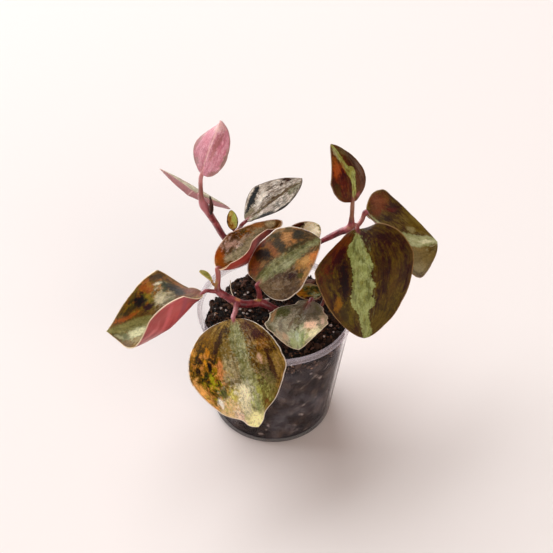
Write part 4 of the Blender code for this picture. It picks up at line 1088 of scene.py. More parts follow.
def leafTop(name, leaf):
    finish = LeafFinish(name + "_top", leaf, leaf["rough"], Specular_IOR_Level=leaf["shine"],
                        Subsurface_Weight=0.05)
    skin, seeded = leafSkin, finish.seeded
    coarse = finish.noise(seeded, *skin["coarse"])
    streaks = finish.noise(finish.stretched(3, 9, 3.7), *skin["streaks"])
    fine = finish.noise(finish.stretched(7, 34, 5.3), *skin["fine"])
    tone = finish.step(coarse * 0.4 + streaks * 0.35 + fine * 0.25, 0.38, 0.62)
    colour = finish.ramp(tone, *zip((0, 0.5, 1), leaf["ground"]))
    push = finish.noise(seeded, *skin["push"], "Color")
    placed = finish.drifted(push, skin["spotDrift"])
    fray = (finish.noise(seeded, *skin["fray"]) - 0.5) * 2.2 + (fine - 0.5) * 0.9
    colour = finish.patches(colour, leaf["spots"], placed, 0.8, fray)
    if leaf["stripe"]:
        colour = leafStripe(finish, colour, coarse, **leaf["stripe"])
    colour = leafMottles(finish, colour, placed)
    colour = finish.patches(colour, leaf["marks"], finish.drifted(push, skin["markDrift"]), 0.9, fray * 0.8)
    lines, rib, net = finish.veins()
    grains = finish.noise(seeded, *skin["grains"])
    specks = finish.noise(seeded, *skin["specks"]) * 0.6 + fine * 0.4
    colour = finish.blend(finish.step(specks, 0.49, 0.6, leaf["flecks"]), colour, skin["fleck"])
    shade = 1 - finish.step(grains, 0.56, 0.38, leaf["speckle"]) * 0.5
    shade = shade + finish.step(specks, 0.48, 0.38) * (leaf["speckle"] * 0.5)
    dark, pale = (skin[key] * leaf["veins"] for key in ("veinShade", "netShade"))
    shade = shade * (1 - lines * dark) * (1 + net * pale)
    # punch spreads the colours about the leaf's middle one, gain allows for the light that falls on it
    gains, punch, middle = leaf["gain"], leaf["punch"], paint(*leaf["middle"])
    lift = tuple(gain * (level * (1 - punch) - leaf["haze"]) for gain, level in zip(gains, middle))
    shades = finish.combine(*(shade * (gain * punch) for gain in gains))
    colour = finish.vector("MULTIPLY_ADD", colour, shades, lift)
    colour = finish.vector("MAXIMUM", colour, (skin["darkest"],) * 3)
    foot = finish.step(finish.x, leaf["footLength"], 0.3)
    foot = foot * finish.step(abs(finish.y), *skin["footWidth"], 0.8)
    colour = finish.blend(foot, colour, leaf["foot"])
    ragged = finish.step(finish.noise(seeded, 0.7, 2) * 0.35, 0.02, 0.2)
    colour = finish.blend(finish.step(finish.inside, *skin["rim"], 0.9) * ragged, colour, leaf["rim"])
    finish.feed("Base Color", colour)
    finish.feed("Roughness", leaf["rough"] - 0.06 + finish.noise(seeded, 0.9, 2) * 0.2)
    if leaf["silver"]:
        finish.feed("Metallic", finish.step(grains, 0.4, 0.62, leaf["silver"]))
    relief = lines * -1.0 + net * -0.35 - rib * 0.4
    relief = finish.bump(relief, skin["veinRelief"], 0.5 * leaf["veins"] + 0.15)
    finish.feed("Normal", finish.bump(grains, skin["grainRelief"], skin["grain"], relief))
    return finish


def leafUnderside(name, leaf):
    finish = LeafFinish(name + "_underside", leaf, 0.5, Coat_Weight=0.05, Coat_Roughness=0.4,
                        Subsurface_Weight=0.06)
    lines, rib, net = finish.veins()
    clouds = finish.noise(finish.seeded, *leafSkin["underClouds"])
    streaks = finish.noise(finish.stretched(2, 14, 1.9), *leafSkin["underStreaks"])
    deep = tuple(level * cut for level, cut in zip(paint(*leaf["under"]), (0.55, 0.5, 0.55, 1)))
    colour = finish.blend(finish.step(clouds * 0.6 + streaks * 0.4, 0.62, 0.36, 0.8), leaf["under"], deep)
    # the underside's patches, some of them painted light and painted shade
    colour = finish.patches(colour, leaf["underSpotsAndPaintedLight"], finish.level, 1.2, (streaks - 0.5) * 1.6)
    veins = finish.maths("MAXIMUM", rib, lines * 0.35) * 0.8
    colour = finish.blend(veins, colour, leaf["underVein"])
    colour = finish.blend(finish.step(finish.inside, *leafSkin["underRim"], 0.8), colour, leaf["rim"])
    finish.feed("Base Color", colour)
    finish.feed("Roughness", 0.42 + clouds * 0.2)
    finish.feed("Normal", finish.bump(lines + rib * 1.4 + net * 0.3, 0.0002, 0.5))
    return finish


# Stems

stemLook = {
    "sides": 20,
    "steps": 7,           # between two knots of a route
    "voxel": 0.19,        # mm, of the skin that joins the limbs
    "smooth": 4,
    "wobble": 0.08,       # share of the radius
    "thinnest": 0.3,
    "roots": (40.0, 46.0, 50.8),   # heights of the buried end, mm
    # the end of a petiole under its blade: mm along the midrib, mm up, share of the diameter
    "foot": ((0.3, -0.1, 0.9), (1.6, -0.32, 0.6), (3.0, -0.55, 0.3)),
}


def footRoute(name, diameter, lead=1.2):
    # the end of a petiole, run a little way under its blade as the midrib
    leaf = leafValues(name)
    ahead, _, up = startAxes(leaf)
    place = np.array(leaf["place"], float)
    stations = ((-lead, 0.0, 1.0), *stemLook["foot"])
    small = min(1.0, leaf["left"] / 8)
    return [(*(place + ahead * along * (1 if along < 0 else small) + up * lift), diameter * size)
            for along, lift, size in stations]


def rooted(x, y, diameter):
    return [(x, y, height, diameter) for height in stemLook["roots"]]


stemRoutes = {
    "stem_left": [
        rooted(3.2, 1.2, 3.4) + [
            (-0.7, 0.8, 53.8, 3.4), (-3.2, 1, 55.4, 3.2), (-6.5, 1.5, 56.6, 3.6), (-9, 0, 57.3, 3.2),
            (-12.5, -2, 58.6, 3.2), (-16, -2.6, 60, 3.7), (-19.8, -0.8, 61.1, 3.1), (-23.3, 0.4, 62.7, 3.2),
            (-23.9, 1.4, 65, 2.4), (-23.6, 2.7, 68, 2.1), (-23.8, 3.7, 70.3, 2.2), (-24, 4.6, 71.6, 2.0),
            (-22.6, 5.4, 71.0, 0.9)],
        [(-22.5, 0.3, 62.6, 1.8), (-24.8, -0.1, 63.1, 1.7), (-27.0, -0.8, 64.0, 1.6)]
        + footRoute("leaf_left", 1.6),
        [(-15.4, -2.5, 60, 2.3), (-15.9, -6.0, 60.8, 2.2), (-16.1, -10.5, 61.9, 2.1)]
        + footRoute("leaf_front", 1.9, 1.2),
        [(-6.7, 1.3, 57.0, 2.2), (-6.8, 0.4, 61.5, 2.2), (-7.1, -1.8, 66, 2.0), (-7.8, -3.0, 69.6, 1.8)]
        + footRoute("leaf_centre", 1.6, 0.3),
        [(-24.0, 1.4, 64.5, 1.4), (-25.2, 0.9, 65.9, 1.2), (-25.8, 0.5, 67.2, 1.1), (-26.4, 1.2, 68.2, 0.9)],
    ],
    "stem_back": [
        rooted(-3.0, 17.0, 2.7) + [
            (-3.8, 17.7, 53, 2.7), (-7.5, 21, 56.3, 2.6), (-13, 25, 60.3, 2.6), (-18.4, 27.8, 64.2, 2.6),
            (-22.6, 27.6, 68.6, 2.7), (-25.9, 25.2, 77.6, 2.8), (-28.7, 22.6, 85.5, 3.1),
            (-30.6, 22.2, 89.7, 3.6), (-31.5, 21.8, 93.5, 2.4), (-31.6, 21.5, 97.7, 1.9)]
        + footRoute("leaf_pink", 1.8, 2.4),
        [(-20.4, 28, 66.3, 1.7), (-18, 29.8, 69.5, 1.7), (-16.2, 29.4, 72.7, 1.7)]
        + footRoute("leaf_silver", 1.7, 2),
        [(-22, 27.6, 69, 1.3)] + footRoute("leaf_young", 1.1, 1.4),
        [(-30.9, 22.1, 90.8, 2.2), (-32.0, 22.5, 92.9, 1.9)] + footRoute("leaf_red", 1.8, 0.6),
    ],
    "stem_right": [
        rooted(5.0, 17.0, 2.3) + [
            (6.5, 16.6, 56, 2.2), (9, 16, 62, 2.1), (11.6, 16, 69, 2.1), (14, 15.8, 74.6, 2.0),
            (16.9, 15, 78.6, 2.0), (20.7, 14.5, 81.9, 2.5), (24.5, 14, 85.1, 2.8), (28.3, 13.5, 87.9, 3.2),
            (28.6, 13.8, 93.4, 1.9)] + footRoute("leaf_upper", 1.8, 2.4),
        [(27.8, 13.4, 87.6, 2.2), (29.8, 13.6, 88.9, 2.1)] + footRoute("leaf_right", 2.1, 1.4),
        [(27.6, 13.4, 87.4, 2.2), (31.2, 16, 86.9, 2.0), (33.3, 18.6, 88.3, 1.9)]
        + footRoute("leaf_back", 1.9),
        [(6.8, 16.6, 57, 1.5), (4.9, 17.2, 61.5, 1.5)] + footRoute("leaf_behind", 1.4, 2.2),
    ],
    "stem_low": [
        rooted(15.9, -0.6, 2.0) + [(15.8, 1.0, 55.2, 1.8)] + footRoute("leaf_low", 1.7, 1.5),
        [(16.0, 0.4, 53.6, 1.5), (19.0, 4.2, 54.3, 1.4)] + footRoute("leaf_inner", 1.3, 1.5),
    ],
    "bud": [
        [(-27.6, 20.0, 86.7, 0.9), (-27.4, 19.9, 88.5, 1.7), (-27.4, 19.9, 90.6, 1.9),
         (-27.5, 20.0, 93.2, 1.3), (-27.9, 20.0, 96.0, 0.5)],
    ],
}


def makeStemTree():
    maker, given = newTree("stemTubes", [
        ("Sides", "Int", 20), ("Pitch", "Float", 0.0005), ("Wobble", "Float", 0.05),
        ("Wobble Pitch", "Float", 400.0), ("Seed", "Float", 0.0),
    ])
    even = maker.wire("GeometryNodeResampleCurve", {"mode": "LENGTH"},
                      {"Curve": given["Geometry"], "Length": given["Pitch"]})
    place = maker.wire("GeometryNodeInputPosition")
    radius = maker.wire("GeometryNodeInputRadius")
    sizes = {"Vector": place, "W": given["Seed"], "Scale": given["Wobble Pitch"], "Detail": 1.0}
    uneven = maker.wire("ShaderNodeTexNoise", {"noise_dimensions": "4D"}, sizes)
    grown = radius * (1 + (uneven - 0.5) * given["Wobble"])
    thick = maker.wire("GeometryNodeSetCurveRadius", None, {"Curve": even, "Radius": grown})
    ring = maker.wire("GeometryNodeCurvePrimitiveCircle", {"mode": "RADIUS"},
                      {"Resolution": given["Sides"], "Radius": 1.0})
    sizes = {"Curve": thick, "Profile Curve": ring, "Fill Caps": True}
    node = maker.put("GeometryNodeCurveToMesh", None, sizes)
    for socket in node.inputs:
        if socket.name == "Scale":
            maker.link(grown, socket)
    return closeTree(maker, Wire(maker, node.outputs[0]), given)


def addStem(name, tree, finish, slot):
    curve = bpy.data.curves.new(name, "CURVE")
    curve.dimensions = "3D"
    for route in stemRoutes[name]:
        knots = np.array(route, float)
        knots = np.vstack((2 * knots[0] - knots[1], knots, 2 * knots[-1] - knots[-2]))
        line = smoothLine(knots, stemLook["steps"])
        spline = curve.splines.new("POLY")
        spline.points.add(len(line) - 1)
        for point, (x, y, z, diameter) in zip(spline.points, line):
            point.co = (x * mm, y * mm, z * mm, 1.0)
            point.radius = max(diameter, stemLook["thinnest"]) / 2 * mm
    piece = addObject(name + "_skin", curve)
    addTree(piece, tree, {"Sides": stemLook["sides"], "Wobble": stemLook["wobble"], "Seed": float(len(name)),
                          "Material": finish.material})
    piece = bake(piece)
    piece.data.materials.clear()
    piece.data.materials.append(finish.material)
    skin = piece.modifiers.new("skin", "REMESH")
    skin.mode = "VOXEL"
    skin.voxel_size = stemLook["voxel"] * mm
    skin.use_smooth_shade = True
    even = piece.modifiers.new("even", "SMOOTH")
    even.factor = 0.5
    even.iterations = stemLook["smooth"]
    bake(piece)
    piece.data.shade_smooth()
    settle(piece, slot, name)


# Places in mm; each spot is (x, y, z, radius in x, y and z, colour, amount).
stemTints = {
    "ground": [(88, 26, 32), (132, 46, 54), (176, 92, 98)],
    "fleck": (186, 116, 112),
    "bud": [(34, 18, 14), (92, 50, 42)],
    "spots": [
        (-30.2, 21.5, 89.5, 3.2, 3.2, 5.0, (196, 120, 128), 0.8),
        (-31.4, 21.5, 98, 3, 3, 5, (150, 92, 82), 0.7),
        (-31.2, 21.2, 105, 3, 3, 4, (206, 140, 138), 0.8),
        (-16.3, -12, 62.6, 3, 4.5, 3, (176, 104, 104), 0.7),
        (-6.8, -0.5, 63, 2.5, 4, 6, (146, 66, 66), 0.6),
        (-25.5, 0.8, 67, 2.0, 2.0, 2.6, (172, 128, 74), 0.9),
        (-23.6, 3, 70, 3, 3, 3, (176, 98, 88), 0.7),
        (28.6, 14, 97, 3, 3, 5, (140, 96, 62), 0.8),
        (33, 18, 88, 3, 3, 3, (170, 110, 96), 0.7),
        (30, 12.5, 88.8, 2, 2, 2, (160, 96, 76), 0.6),
        (17, 3, 56, 6, 6, 4, (120, 76, 52), 0.6),
        (-15.6, -2.4, 61.2, 1.3, 1.1, 1.3, (214, 146, 92), 0.8),
        (-17.4, -3.4, 59.6, 0.8, 0.9, 1.2, (206, 140, 96), 0.7),
        (-7.0, -0.2, 59.4, 1.1, 1.0, 0.9, (190, 168, 92), 0.8),
        (-8.4, 0.6, 58.8, 0.8, 0.8, 0.7, (196, 150, 88), 0.7),
        (-16.4, -13.5, 63, 2.2, 3, 2, (186, 118, 122), 0.7),
        (-23.4, 1.0, 64.6, 0.9, 0.9, 0.7, (196, 140, 104), 0.6),
        (27.6, 12.6, 88.6, 1.0, 0.9, 0.9, (196, 138, 110), 0.6),
    ],
}


def stemFinish():
    finish = Finish("redStem", 0.36, Coat_Weight=0.25, Coat_Roughness=0.28, Subsurface_Weight=0.08,
                    Subsurface_Scale=0.001)
    place = finish.places()
    clouds = finish.noise(place, 0.35, 4, 0.6)
    colour = finish.ramp(clouds, *zip((0.34, 0.5, 0.68), stemTints["ground"]))
    fray = (finish.noise(place, 0.8, 2) - 0.5) * 0.8
    for x, y, z, wide, deep, tall, tint, amount in stemTints["spots"]:
        mask = finish.spot(place, (x, y, z), (wide, deep, tall), 0, 0.7, amount, fray)
        colour = finish.blend(mask, colour, tint)
    flecks = finish.noise(place, 3, 2, 0.6)
    colour = finish.blend(finish.step(flecks, 0.6, 0.72, 0.35), colour, stemTints["fleck"])
    finish.feed("Base Color", colour)
    finish.feed("Roughness", 0.3 + clouds * 0.2)
    finish.feed("Normal", finish.bump(clouds * 0.5 + flecks * 0.5, 0.0002, 0.35))
    return finish


def budFinish():
    finish = Finish("darkBud", 0.55, Specular_IOR_Level=0.2)
    streaks = finish.noise(finish.places((1, 1, 0.25)), 1.2, 3)
    finish.feed("Base Color", finish.ramp(streaks, *zip((0.35, 0.65), stemTints["bud"])))
    finish.feed("Normal", finish.bump(streaks, 0.0002, 0.4))
    return finish


# Pot

potLook = {
    "sides": 144,
    "height": 56.5,
    "mouth": 32.0,
    "base": 25.3,
    "wall": 1.0,
    "collar": 2.4,
    "step": 0.7,
    "drains": 4,
    "drainCircle": 15.0,
    "drainRadius": 1.8,
    "round": 0.45,       # radius of the profile's corners
    "haze": 0.02,        # how much of the wall is seen when looked at straight on
    "colour": (206, 196, 206),
    "filledColour": (86, 72, 66),
    "floorColour": (60, 50, 48),
    # mm above the table, where each part of the look starts and where it's full
    "collarSeen": (53.6, 54.2),
    "filledHaze": (51, 45),
    "filledTint": (49, 40),
    "floorHaze": (2.2, 0.8),
    "floorTint": (2.6, 1.0),
}


def wallRadius(height):
    reach = potLook["mouth"] - potLook["step"] - potLook["base"]
    return potLook["base"] + reach * height / potLook["height"]


def rounded(corners, radius, steps=4):
    # a profile with its inner corners eased
    path = [corners[0]]
    for before, here, after in zip(corners, corners[1:], corners[2:]):
        here = np.array(here, float)
        back, on = np.array(before) - here, np.array(after) - here
        reach = min(radius, np.linalg.norm(back) / 2.2, np.linalg.norm(on) / 2.2)
        first, last = here + unit(back) * reach, here + unit(on) * reach
        for t in np.linspace(0, 1, steps + 1):
            path.append(tuple((1 - t) ** 2 * first + 2 * t * (1 - t) * here + t**2 * last))
    path.append(corners[-1])
    return path


def makeLatheTree():
    maker, given = newTree("turnedShell", [
        ("Sides", "Int", 96), ("Stations", "Int", 10), ("Drains", "Int", 4), ("Drain Circle", "Float", 0.015),
        ("Drain Radius", "Float", 0.0018),
    ])
    sizes = {"Size X": 1.0, "Size Y": 1.0, "Vertices X": given["Sides"] + 1, "Vertices Y": given["Stations"]}
    grid = maker.wire("GeometryNodeMeshGrid", None, sizes, "Mesh")
    index = maker.wire("GeometryNodeInputIndex")
    column = maker.maths("FLOOR", index / given["Stations"])
    row = index - column * given["Stations"]
    profile = maker.wire("GeometryNodeInputPosition")
    sizes = {"Geometry": given["Geometry"], "Value": profile, "Index": row}
    station = maker.wire("GeometryNodeSampleIndex", {"data_type": "FLOAT_VECTOR", "domain": "POINT"}, sizes)
    radius, _, height = maker.split(station)
    angle = column / given["Sides"] * math.tau
    place = maker.combine(radius * maker.maths("COSINE", angle), radius * maker.maths("SINE", angle), height)
    turned = maker.wire("GeometryNodeSetPosition", None, {"Geometry": grid, "Position": place})
    closed = maker.wire("GeometryNodeMergeByDistance", None, {"Geometry": turned, "Distance": 0.000001})
    smooth = maker.wire("GeometryNodeSetShadeSmooth", None, {"Geometry": closed, "Shade Smooth": True})
    ring = maker.wire("GeometryNodeMeshCircle", {"fill_type": "NONE"},
                      {"Vertices": given["Drains"], "Radius": given["Drain Circle"]})
    spun = maker.wire("GeometryNodeTransform", None, {"Geometry": ring, "Rotation": (0, 0, math.pi / 4)})
    drill = maker.wire("GeometryNodeMeshCylinder", None,
                       {"Vertices": 24, "Radius": given["Drain Radius"], "Depth": 0.008})
    holes = maker.wire("GeometryNodeInstanceOnPoints", None, {"Points": spun, "Instance": drill})
    holes = maker.wire("GeometryNodeRealizeInstances", None, {"Geometry": holes})
    drilled = maker.wire("GeometryNodeMeshBoolean", {"operation": "DIFFERENCE", "solver": "EXACT"},
                         {0: smooth, 1: holes})
    return closeTree(maker, drilled, given)


def addPot():
    top, wall = potLook["height"], potLook["wall"]
    shelf, mouth = top - potLook["collar"], potLook["mouth"]
    corners = [
        (0, 0), (potLook["base"] - 0.9, 0), (wallRadius(1.6), 1.6), (wallRadius(shelf), shelf),
        (mouth, shelf), (mouth, top), (wallRadius(top) - wall, top),
        (wallRadius(2 * wall) - wall, 2 * wall), (wallRadius(wall) - 2 * wall, wall), (0, wall),
    ]
    points = [(radius * mm, 0, height * mm) for radius, height in rounded(corners, potLook["round"])]
    mesh = bpy.data.meshes.new("potShell")
    mesh.from_pydata(points, [(a, a + 1) for a in range(len(points) - 1)], [])
    piece = addObject("pot_shell", mesh)
    finish = potFinish()
    addTree(piece, makeLatheTree(), {
        "Sides": potLook["sides"], "Stations": len(points), "Drains": potLook["drains"],
        "Drain Circle": potLook["drainCircle"] * mm, "Drain Radius": potLook["drainRadius"] * mm,
        "Material": finish.material,
    })
    bake(piece)
    faceOut(piece)
    piece.data.set_sharp_from_angle(angle=math.radians(50))
    settle(piece, "clear_plastic", "pot")


def potFinish():
    finish = Finish("clearPlastic", 0.22, IOR=1.45, Specular_IOR_Level=0.3)
    place = finish.places()
    height = finish.split(place)[2]
    fog = finish.noise(place, 0.09, 4, 0.6)
    edge = finish.wire("ShaderNodeLayerWeight", None, {"Blend": 0.35}, "Facing")
    collar = finish.step(height, *potLook["collarSeen"])
    filled = finish.step(height, *potLook["filledHaze"])
    haze = potLook["haze"] + finish.step(fog, 0.48, 0.7, 0.07) * filled
    haze = haze + finish.step(edge, 0.5, 1.0, 0.2) + finish.step(edge, 0.62, 0.95, 0.55) * filled
    haze = haze + collar * 0.3 + finish.step(height, *potLook["floorHaze"], 0.5)
    finish.feed("Alpha", finish.maths("MINIMUM", haze, 0.95))
    dull = finish.step(height, *potLook["filledTint"]) * finish.step(edge, 0.5, 0.8)
    tint = finish.blend(dull, potLook["colour"], potLook["filledColour"])
    tint = finish.blend(finish.step(height, *potLook["floorTint"]), tint, potLook["floorColour"])
    finish.feed("Base Color", tint)
    finish.feed("Roughness", 0.22 + fog * 0.15)
    finish.feed("Normal", finish.bump(fog, 0.0004, 0.1))
    return finish


# Soil

soilLook = {
    "level": 50.0,        # mm, at the pot's middle
    "slope": 0.045,       # up to the right
    "lump": 1.1,          # mm
    "pitch": 7.0,         # mm from lump to lump
    "grit": 0.0012,       # m, the finest lumps
    "gap": 0.35,          # to the pot's inner face, mm
    "hollow": (128, 212, 26.6, 8.0),   # from and to angle, radius inside which the soil stays up, depth
    "brink": (12, 1.8, 2.4, 1.6),      # its edge: degrees at the ends, mm moved by lumps and grit, width
    "foot": 1.08,         # height of the fill's underside
    "pits": (9, 0.35, 0.35),           # how fine round the wall and upwards, depth in mm
    "sides": 180,
    "rings": 56,
    "clods": {"Density": 8e4, "Size": 0.003, "Squash": 0.7, "Rough": 0.0026, "Seed": 31, "Lowest": 0.2},
    "crumbs": {"Density": 6.2e5, "Size": 0.0013, "Squash": 0.65, "Rough": 0.0011, "Seed": 3, "Lowest": 0.2},
    "bits": {"Density": 1.5e5, "Size": 0.0015, "Squash": 0.35, "Rough": 0.0009, "Seed": 11, "Lowest": 0.3},
    "grains": {"Density": 1.5e4, "Size": 0.001, "Squash": 0.8, "Rough": 0.0005, "Seed": 23, "Lowest": 0.3},
}


def soilHeight(x, y):
    # x and y in metres
    lump = noise.noise(Vector((x, y, 0.02)) / (soilLook["pitch"] * mm))
    grain = noise.noise(Vector((y, x, 0.05)) / (0.45 * soilLook["pitch"] * mm))
    fine = noise.noise(Vector((x, y, 0.3)) / soilLook["grit"])
    level = soilLook["level"] * mm + soilLook["slope"] * x
    reach, angle = math.hypot(x, y) / mm, math.degrees(math.atan2(y, x)) % 360
    start, end, inner, depth = soilLook["hollow"]
    ends, byLump, byGrit, width = soilLook["brink"]
    side = min(1, max(0, (angle - start) / ends)) * min(1, max(0, (end - angle) / ends))
    sink = min(1, max(0, (reach - inner - byLump * lump - byGrit * fine) / width)) * side * depth * mm
    return level + soilLook["lump"] * mm * (lump + 0.6 * grain + 0.5 * fine) - sink


def makeScatterTree():
    maker, given = newTree("scatteredCrumbs", [
        ("Density", "Float", 1000.0), ("Size", "Float", 0.001), ("Squash", "Float", 0.6),
        ("Rough", "Float", 0.0005), ("Lowest", "Float", 0.3), ("Seed", "Int", 0),
    ])

    def draw(low, high, shift):
        # a random number or vector for each crumb
        seed = given["Seed"] + shift if shift else given["Seed"]
        if isinstance(low, tuple):
            kind, sizes, output = "FLOAT_VECTOR", {0: low, 1: high, "Seed": seed}, 0
        else:
            kind, sizes, output = "FLOAT", {2: low, 3: high, "Seed": seed}, 1
        return maker.wire("FunctionNodeRandomValue", {"data_type": kind}, sizes, output)

    steep = maker.split(maker.wire("GeometryNodeInputNormal"))[2]
    above = maker.wire("FunctionNodeCompare", {"operation": "GREATER_THAN"}, {0: steep, 1: given["Lowest"]})
    scattered = maker.wire("GeometryNodeDistributePointsOnFaces", {"distribute_method": "RANDOM"}, {
        "Mesh": given["Geometry"], "Selection": above, "Density": given["Density"], "Seed": given["Seed"],
    })
    ball = maker.wire("GeometryNodeMeshIcoSphere", None, {"Radius": 1.0, "Subdivisions": 2})
    reach = draw(0.3, 1.0, 0)
    shape = draw((0.6, 0.6, 0.6), (1.0, 1.0, 1.0), 1)
    size = maker.vector("MULTIPLY", shape, maker.combine(1.0, given["Squash"], given["Squash"]))
    size = maker.scale(size, reach * reach * given["Size"])
    turn = draw((0, 0, 0), (math.tau, math.tau, math.tau), 2)
    placed = maker.wire("GeometryNodeInstanceOnPoints", None,
                        {"Points": scattered, "Instance": ball, "Rotation": turn, "Scale": size})
    toned = maker.wire("GeometryNodeStoreNamedAttribute", {"data_type": "FLOAT", "domain": "INSTANCE"},
                       {"Geometry": placed, "Name": "tone", "Value": draw(0.0, 1.0, 3)})
    loose = maker.wire("GeometryNodeRealizeInstances", None, {"Geometry": toned})
    sizes = {"Vector": maker.wire("GeometryNodeInputPosition"), "Scale": 900.0, "Detail": 2.0}
    jolt = maker.wire("ShaderNodeTexNoise", {"noise_dimensions": "3D"}, sizes, "Color")
    jolt = maker.scale(maker.vector("SUBTRACT", jolt, (0.5, 0.5, 0.5)), given["Rough"])
    crumbled = maker.wire("GeometryNodeSetPosition", None, {"Geometry": loose, "Offset": jolt})
    return closeTree(maker, crumbled, given)


def addSoil():
    sides, rings = soilLook["sides"], soilLook["rings"]
    gap = potLook["wall"] + soilLook["gap"]
    foot, (fine, high, depth) = soilLook["foot"], soilLook["pits"]
    profile = [(wallRadius(1.1) - gap - 1.1, foot), (wallRadius(2.0) - gap - 0.1, 1.7)]
    profile += [(wallRadius(height) - gap, height) for height in np.linspace(6, 46, 18)]
    points = [(0, 0, foot * mm)]
    loops = [[0]]
    for radius, height in profile:
        loop = []
        for side in range(sides):
            angle = math.tau * side / sides
            pit = noise.noise(Vector((math.cos(angle) * fine, math.sin(angle) * fine, height * high)))
            reach = (radius - depth * max(pit, 0.0)) * mm
            loop.append(len(points))
            points.append((reach * math.cos(angle), reach * math.sin(angle), height * mm))
        loops.append(loop)
    outer = wallRadius(soilLook["level"]) - gap
    for ring in range(rings):
        radius = outer * (1 - ring / rings) * mm
        loop = []
        for side in range(sides):
            angle = math.tau * side / sides
            x, y = radius * math.cos(angle), radius * math.sin(angle)
            loop.append(len(points))
            points.append((x, y, soilHeight(x, y) - (0.5 * mm if ring == 0 else 0)))
        loops.append(loop)
    loops.append([len(points)])
    points.append((0, 0, soilHeight(0, 0)))
    faces = []
    for lower, upper in zip(loops, loops[1:]):
        for side in range(sides):
            after = (side + 1) % sides
            if len(lower) == 1:
                faces.append((lower[0], upper[after], upper[side]))
            elif len(upper) == 1:
                faces.append((lower[side], lower[after], upper[0]))
            else:
                faces.append((lower[side], lower[after], upper[after], upper[side]))
    bed = addMesh("soil_bed", points, faces, soilFinish("darkSoil", (20, 14, 11), (46, 33, 26)), sideFinish())
    flank = sides * (len(profile) + 1)
    for face in bed.data.polygons[:flank]:
        face.material_index = 1
    faceOut(bed)
    tree = makeScatterTree()
    finishes = {
        "clods": soilFinish("soilClod", (18, 12, 9), (72, 50, 38)),
        "crumbs": soilFinish("soilCrumb", (24, 16, 12), (96, 70, 54)),
        "bits": soilFinish("barkBit", (74, 48, 32), (168, 126, 94)),
        "grains": soilFinish("paleGrain", (192, 184, 174), (242, 236, 230)),
    }
    slot = "potting_soil"
    for label, finish in finishes.items():
        layer = bed.copy()
        layer.data = bed.data.copy()
        layer.name = "soil_" + label
        scene.collection.objects.link(layer)
        addTree(layer, tree, {**soilLook[label], "Material": finish.material})
        bake(layer)
        keepInside(layer)
        settle(layer, slot)
    settle(bed, slot, "soil")


def keepInside(piece):
    # crumbs stay off the pot's wall
    count = len(piece.data.vertices)
    places = np.empty(count * 3, np.float32)
    piece.data.vertices.foreach_get("co", places)
    places = places.reshape(-1, 3)
    limit = np.array([wallRadius(z / mm) - potLook["wall"] - 0.1 for z in places[:, 2]]) * mm
    reach = np.hypot(places[:, 0], places[:, 1])
    places[:, :2] *= np.minimum(1, limit / np.maximum(reach, 1e-6))[:, None]
    places[:, 2] = np.maximum(places[:, 2], 1.2 * mm)
    piece.data.vertices.foreach_set("co", places.ravel())


def soilFinish(name, dark, light):
    finish = Finish(name, 0.85, Specular_IOR_Level=0.25)
    clouds = finish.noise(finish.places(), 0.8, 4, 0.65)
    tone = finish.attribute("tone", "Fac")
    finish.feed("Base Color", finish.blend(finish.step(clouds * 0.5 + tone * 0.5, 0.2, 0.75), dark, light))
    finish.feed("Normal", finish.bump(clouds, 0.0008, 0.8))
    return finish


def sideFinish():
    # the fill as it shows through the wall: dark, with pale blurred lumps
    finish = Finish("soilSide", 0.9, Specular_IOR_Level=0.1)
    place = finish.places()
    clouds = finish.noise(place, 0.16, 4, 0.6)
    lumps = finish.noise(place, 0.34, 2, 0.5)
    height = finish.split(place)[2]
    colour = finish.ramp(clouds, (0.34, (14, 10, 8)), (0.5, (36, 27, 22)), (0.68, (74, 58, 48)))
    colour = finish.blend(finish.step(lumps, 0.62, 0.74, 0.75), colour, (150, 132, 122))
    colour = finish.blend(finish.step(lumps, 0.37, 0.3, 0.8), colour, (8, 6, 6))
    colour = finish.blend(finish.step(height + clouds * 5, 7.5, 3.5, 0.85), colour, (9, 6, 6))
    finish.feed("Base Color", colour)
    return finish


# Loose pieces on the soil: (place, half sizes, turn about Z, kind), in mm and degrees.
looseBits = [
    ((-3.8, 8.5, 51.7), (1.1, 0.75, 0.6), 10, "pale"),
    ((-7.9, 5.3, 51.4), (0.55, 0.45, 0.4), 0, "pale"),
    ((-14.7, 2.7, 51.2), (0.55, 0.38, 0.35), 15, "pale"),
    ((-13.2, 0.6, 51.1), (0.6, 0.38, 0.35), 160, "pale"),
    ((-11.7, 0.3, 51.1), (0.5, 0.38, 0.35), 170, "pale"),
    ((-10.6, 2.1, 51.2), (0.5, 0.4, 0.35), 30, "pale"),
    ((-22.6, 3.0, 51.0), (0.45, 0.35, 0.35), 30, "pale"),
    ((-20.5, 1.9, 51.0), (0.5, 0.4, 0.35), 70, "pale"),
    ((-24.9, -0.3, 50.6), (0.5, 0.35, 0.35), 60, "pale"),
    ((-13.1, 11.7, 51.2), (0.6, 0.35, 0.3), 20, "pale"),
    ((-11.9, 13.0, 51.3), (0.5, 0.4, 0.35), 60, "pale"),
    ((22.7, -5.4, 51.7), (0.6, 0.5, 0.4), 60, "pale"),
    ((23.9, -9.4, 51.7), (0.5, 0.7, 0.4), 20, "pale"),
    ((19.9, -11.7, 51.6), (0.6, 0.4, 0.35), 100, "pale"),
    ((13.9, 20.4, 52.2), (2.4, 1.2, 0.7), 12, "bark"),
    ((-14.2, 18.0, 51.3), (1.9, 0.45, 0.45), 65, "bark"),
    ((-13.4, 19.6, 51.8), (1.1, 0.4, 0.4), 20, "bark"),
    ((-15.2, 19.6, 51.5), (0.9, 0.35, 0.35), 120, "bark"),
    ((15.4, -18.6, 51.3), (1.0, 0.6, 0.5), 30, "bark"),
    ((17.6, -17.0, 51.4), (0.8, 0.6, 0.5), 80, "bark"),
]


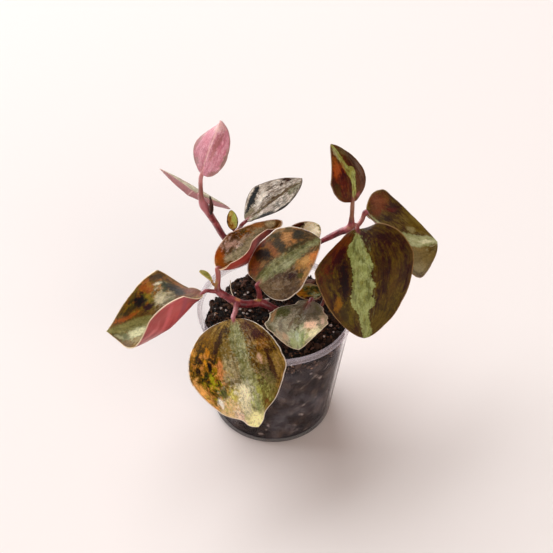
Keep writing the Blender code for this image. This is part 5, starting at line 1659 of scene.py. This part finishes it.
def addLooseBits():
    finishes = {
        "pale": soilFinish("perlite", (206, 198, 190), (244, 240, 234)),
        "bark": soilFinish("barkChip", (120, 90, 76), (192, 164, 144)),
    }
    for kind, finish in finishes.items():
        work = bmesh.new()
        for order, (place, radii, turn, sort) in enumerate(looseBits):
            if sort != kind:
                continue
            matrix = Matrix.Translation(Vector(place) * mm) @ Matrix.Rotation(math.radians(turn), 4, "Z")
            made = bmesh.ops.create_icosphere(work, subdivisions=3, radius=1.0)
            for vert in made["verts"]:
                swell = 1 + 0.6 * noise.noise(vert.co * 1.9 + Vector((order * 5, 0, 0)))
                shape = Vector(vert.co[axis] * radii[axis] * swell * mm for axis in range(3))
                vert.co = matrix @ shape
        mesh = bpy.data.meshes.new("soil_" + kind)
        work.to_mesh(mesh)
        work.free()
        mesh.materials.append(finish.material)
        settle(addObject("soil_" + kind, mesh), "potting_soil")


# A thin pale root that stands up in an arc behind the stem: places and radius in mm.
fibre = {
    "path": [
        (-19.8, 21, 50.4), (-19.6, 19.0, 51.8), (-19.3, 15.0, 53.2), (-18.9, 11.0, 54.3), (-17.8, 5.6, 56.0),
        (-16.2, 1.4, 57.4), (-15.0, -0.8, 58.2),
    ],
    "radius": 0.22,
    "steps": 6,
    "sides": 6,
}


def addFibre():
    path, sides = np.array(fibre["path"]), fibre["sides"]
    line = np.array(smoothLine(np.vstack((path[:1], path, path[-1:])), fibre["steps"]))
    points, faces = [], []
    for place, way in zip(line, np.gradient(line, axis=0)):
        side = unit(np.cross(way, (1, 0, 0)))
        up = unit(np.cross(side, way))
        for step in range(sides):
            angle = math.tau * step / sides
            points.append((place + fibre["radius"] * (math.cos(angle) * side + math.sin(angle) * up)) * mm)
    for ring in range(len(line) - 1):
        for step in range(sides):
            a, b = ring * sides + step, ring * sides + (step + 1) % sides
            faces.append((a, b, b + sides, a + sides))
    faces += [tuple(range(sides - 1, -1, -1)), tuple(range(len(points) - sides, len(points)))]
    finish = soilFinish("paleRoot", (196, 176, 150), (236, 222, 200))
    piece = addMesh("soil_fibre", points, faces, finish)
    faceOut(piece)
    settle(piece, "potting_soil")


# The whole plant

def main():
    addCamera()
    addFloor()
    addLights()
    print("camera, floor and light are set")
    addPot()
    print("the pot is turned")
    addSoil()
    addLooseBits()
    addFibre()
    print("the soil is filled")
    tree, red = makeStemTree(), stemFinish()
    for name in ("stem_left", "stem_back", "stem_right", "stem_low"):
        addStem(name, tree, red, "red_stem")
    addStem("bud", tree, budFinish(), "dark_bud")
    print("the stems have grown")
    for name in leaves:
        addLeaf(name)
    print("the leaves are out")


main()
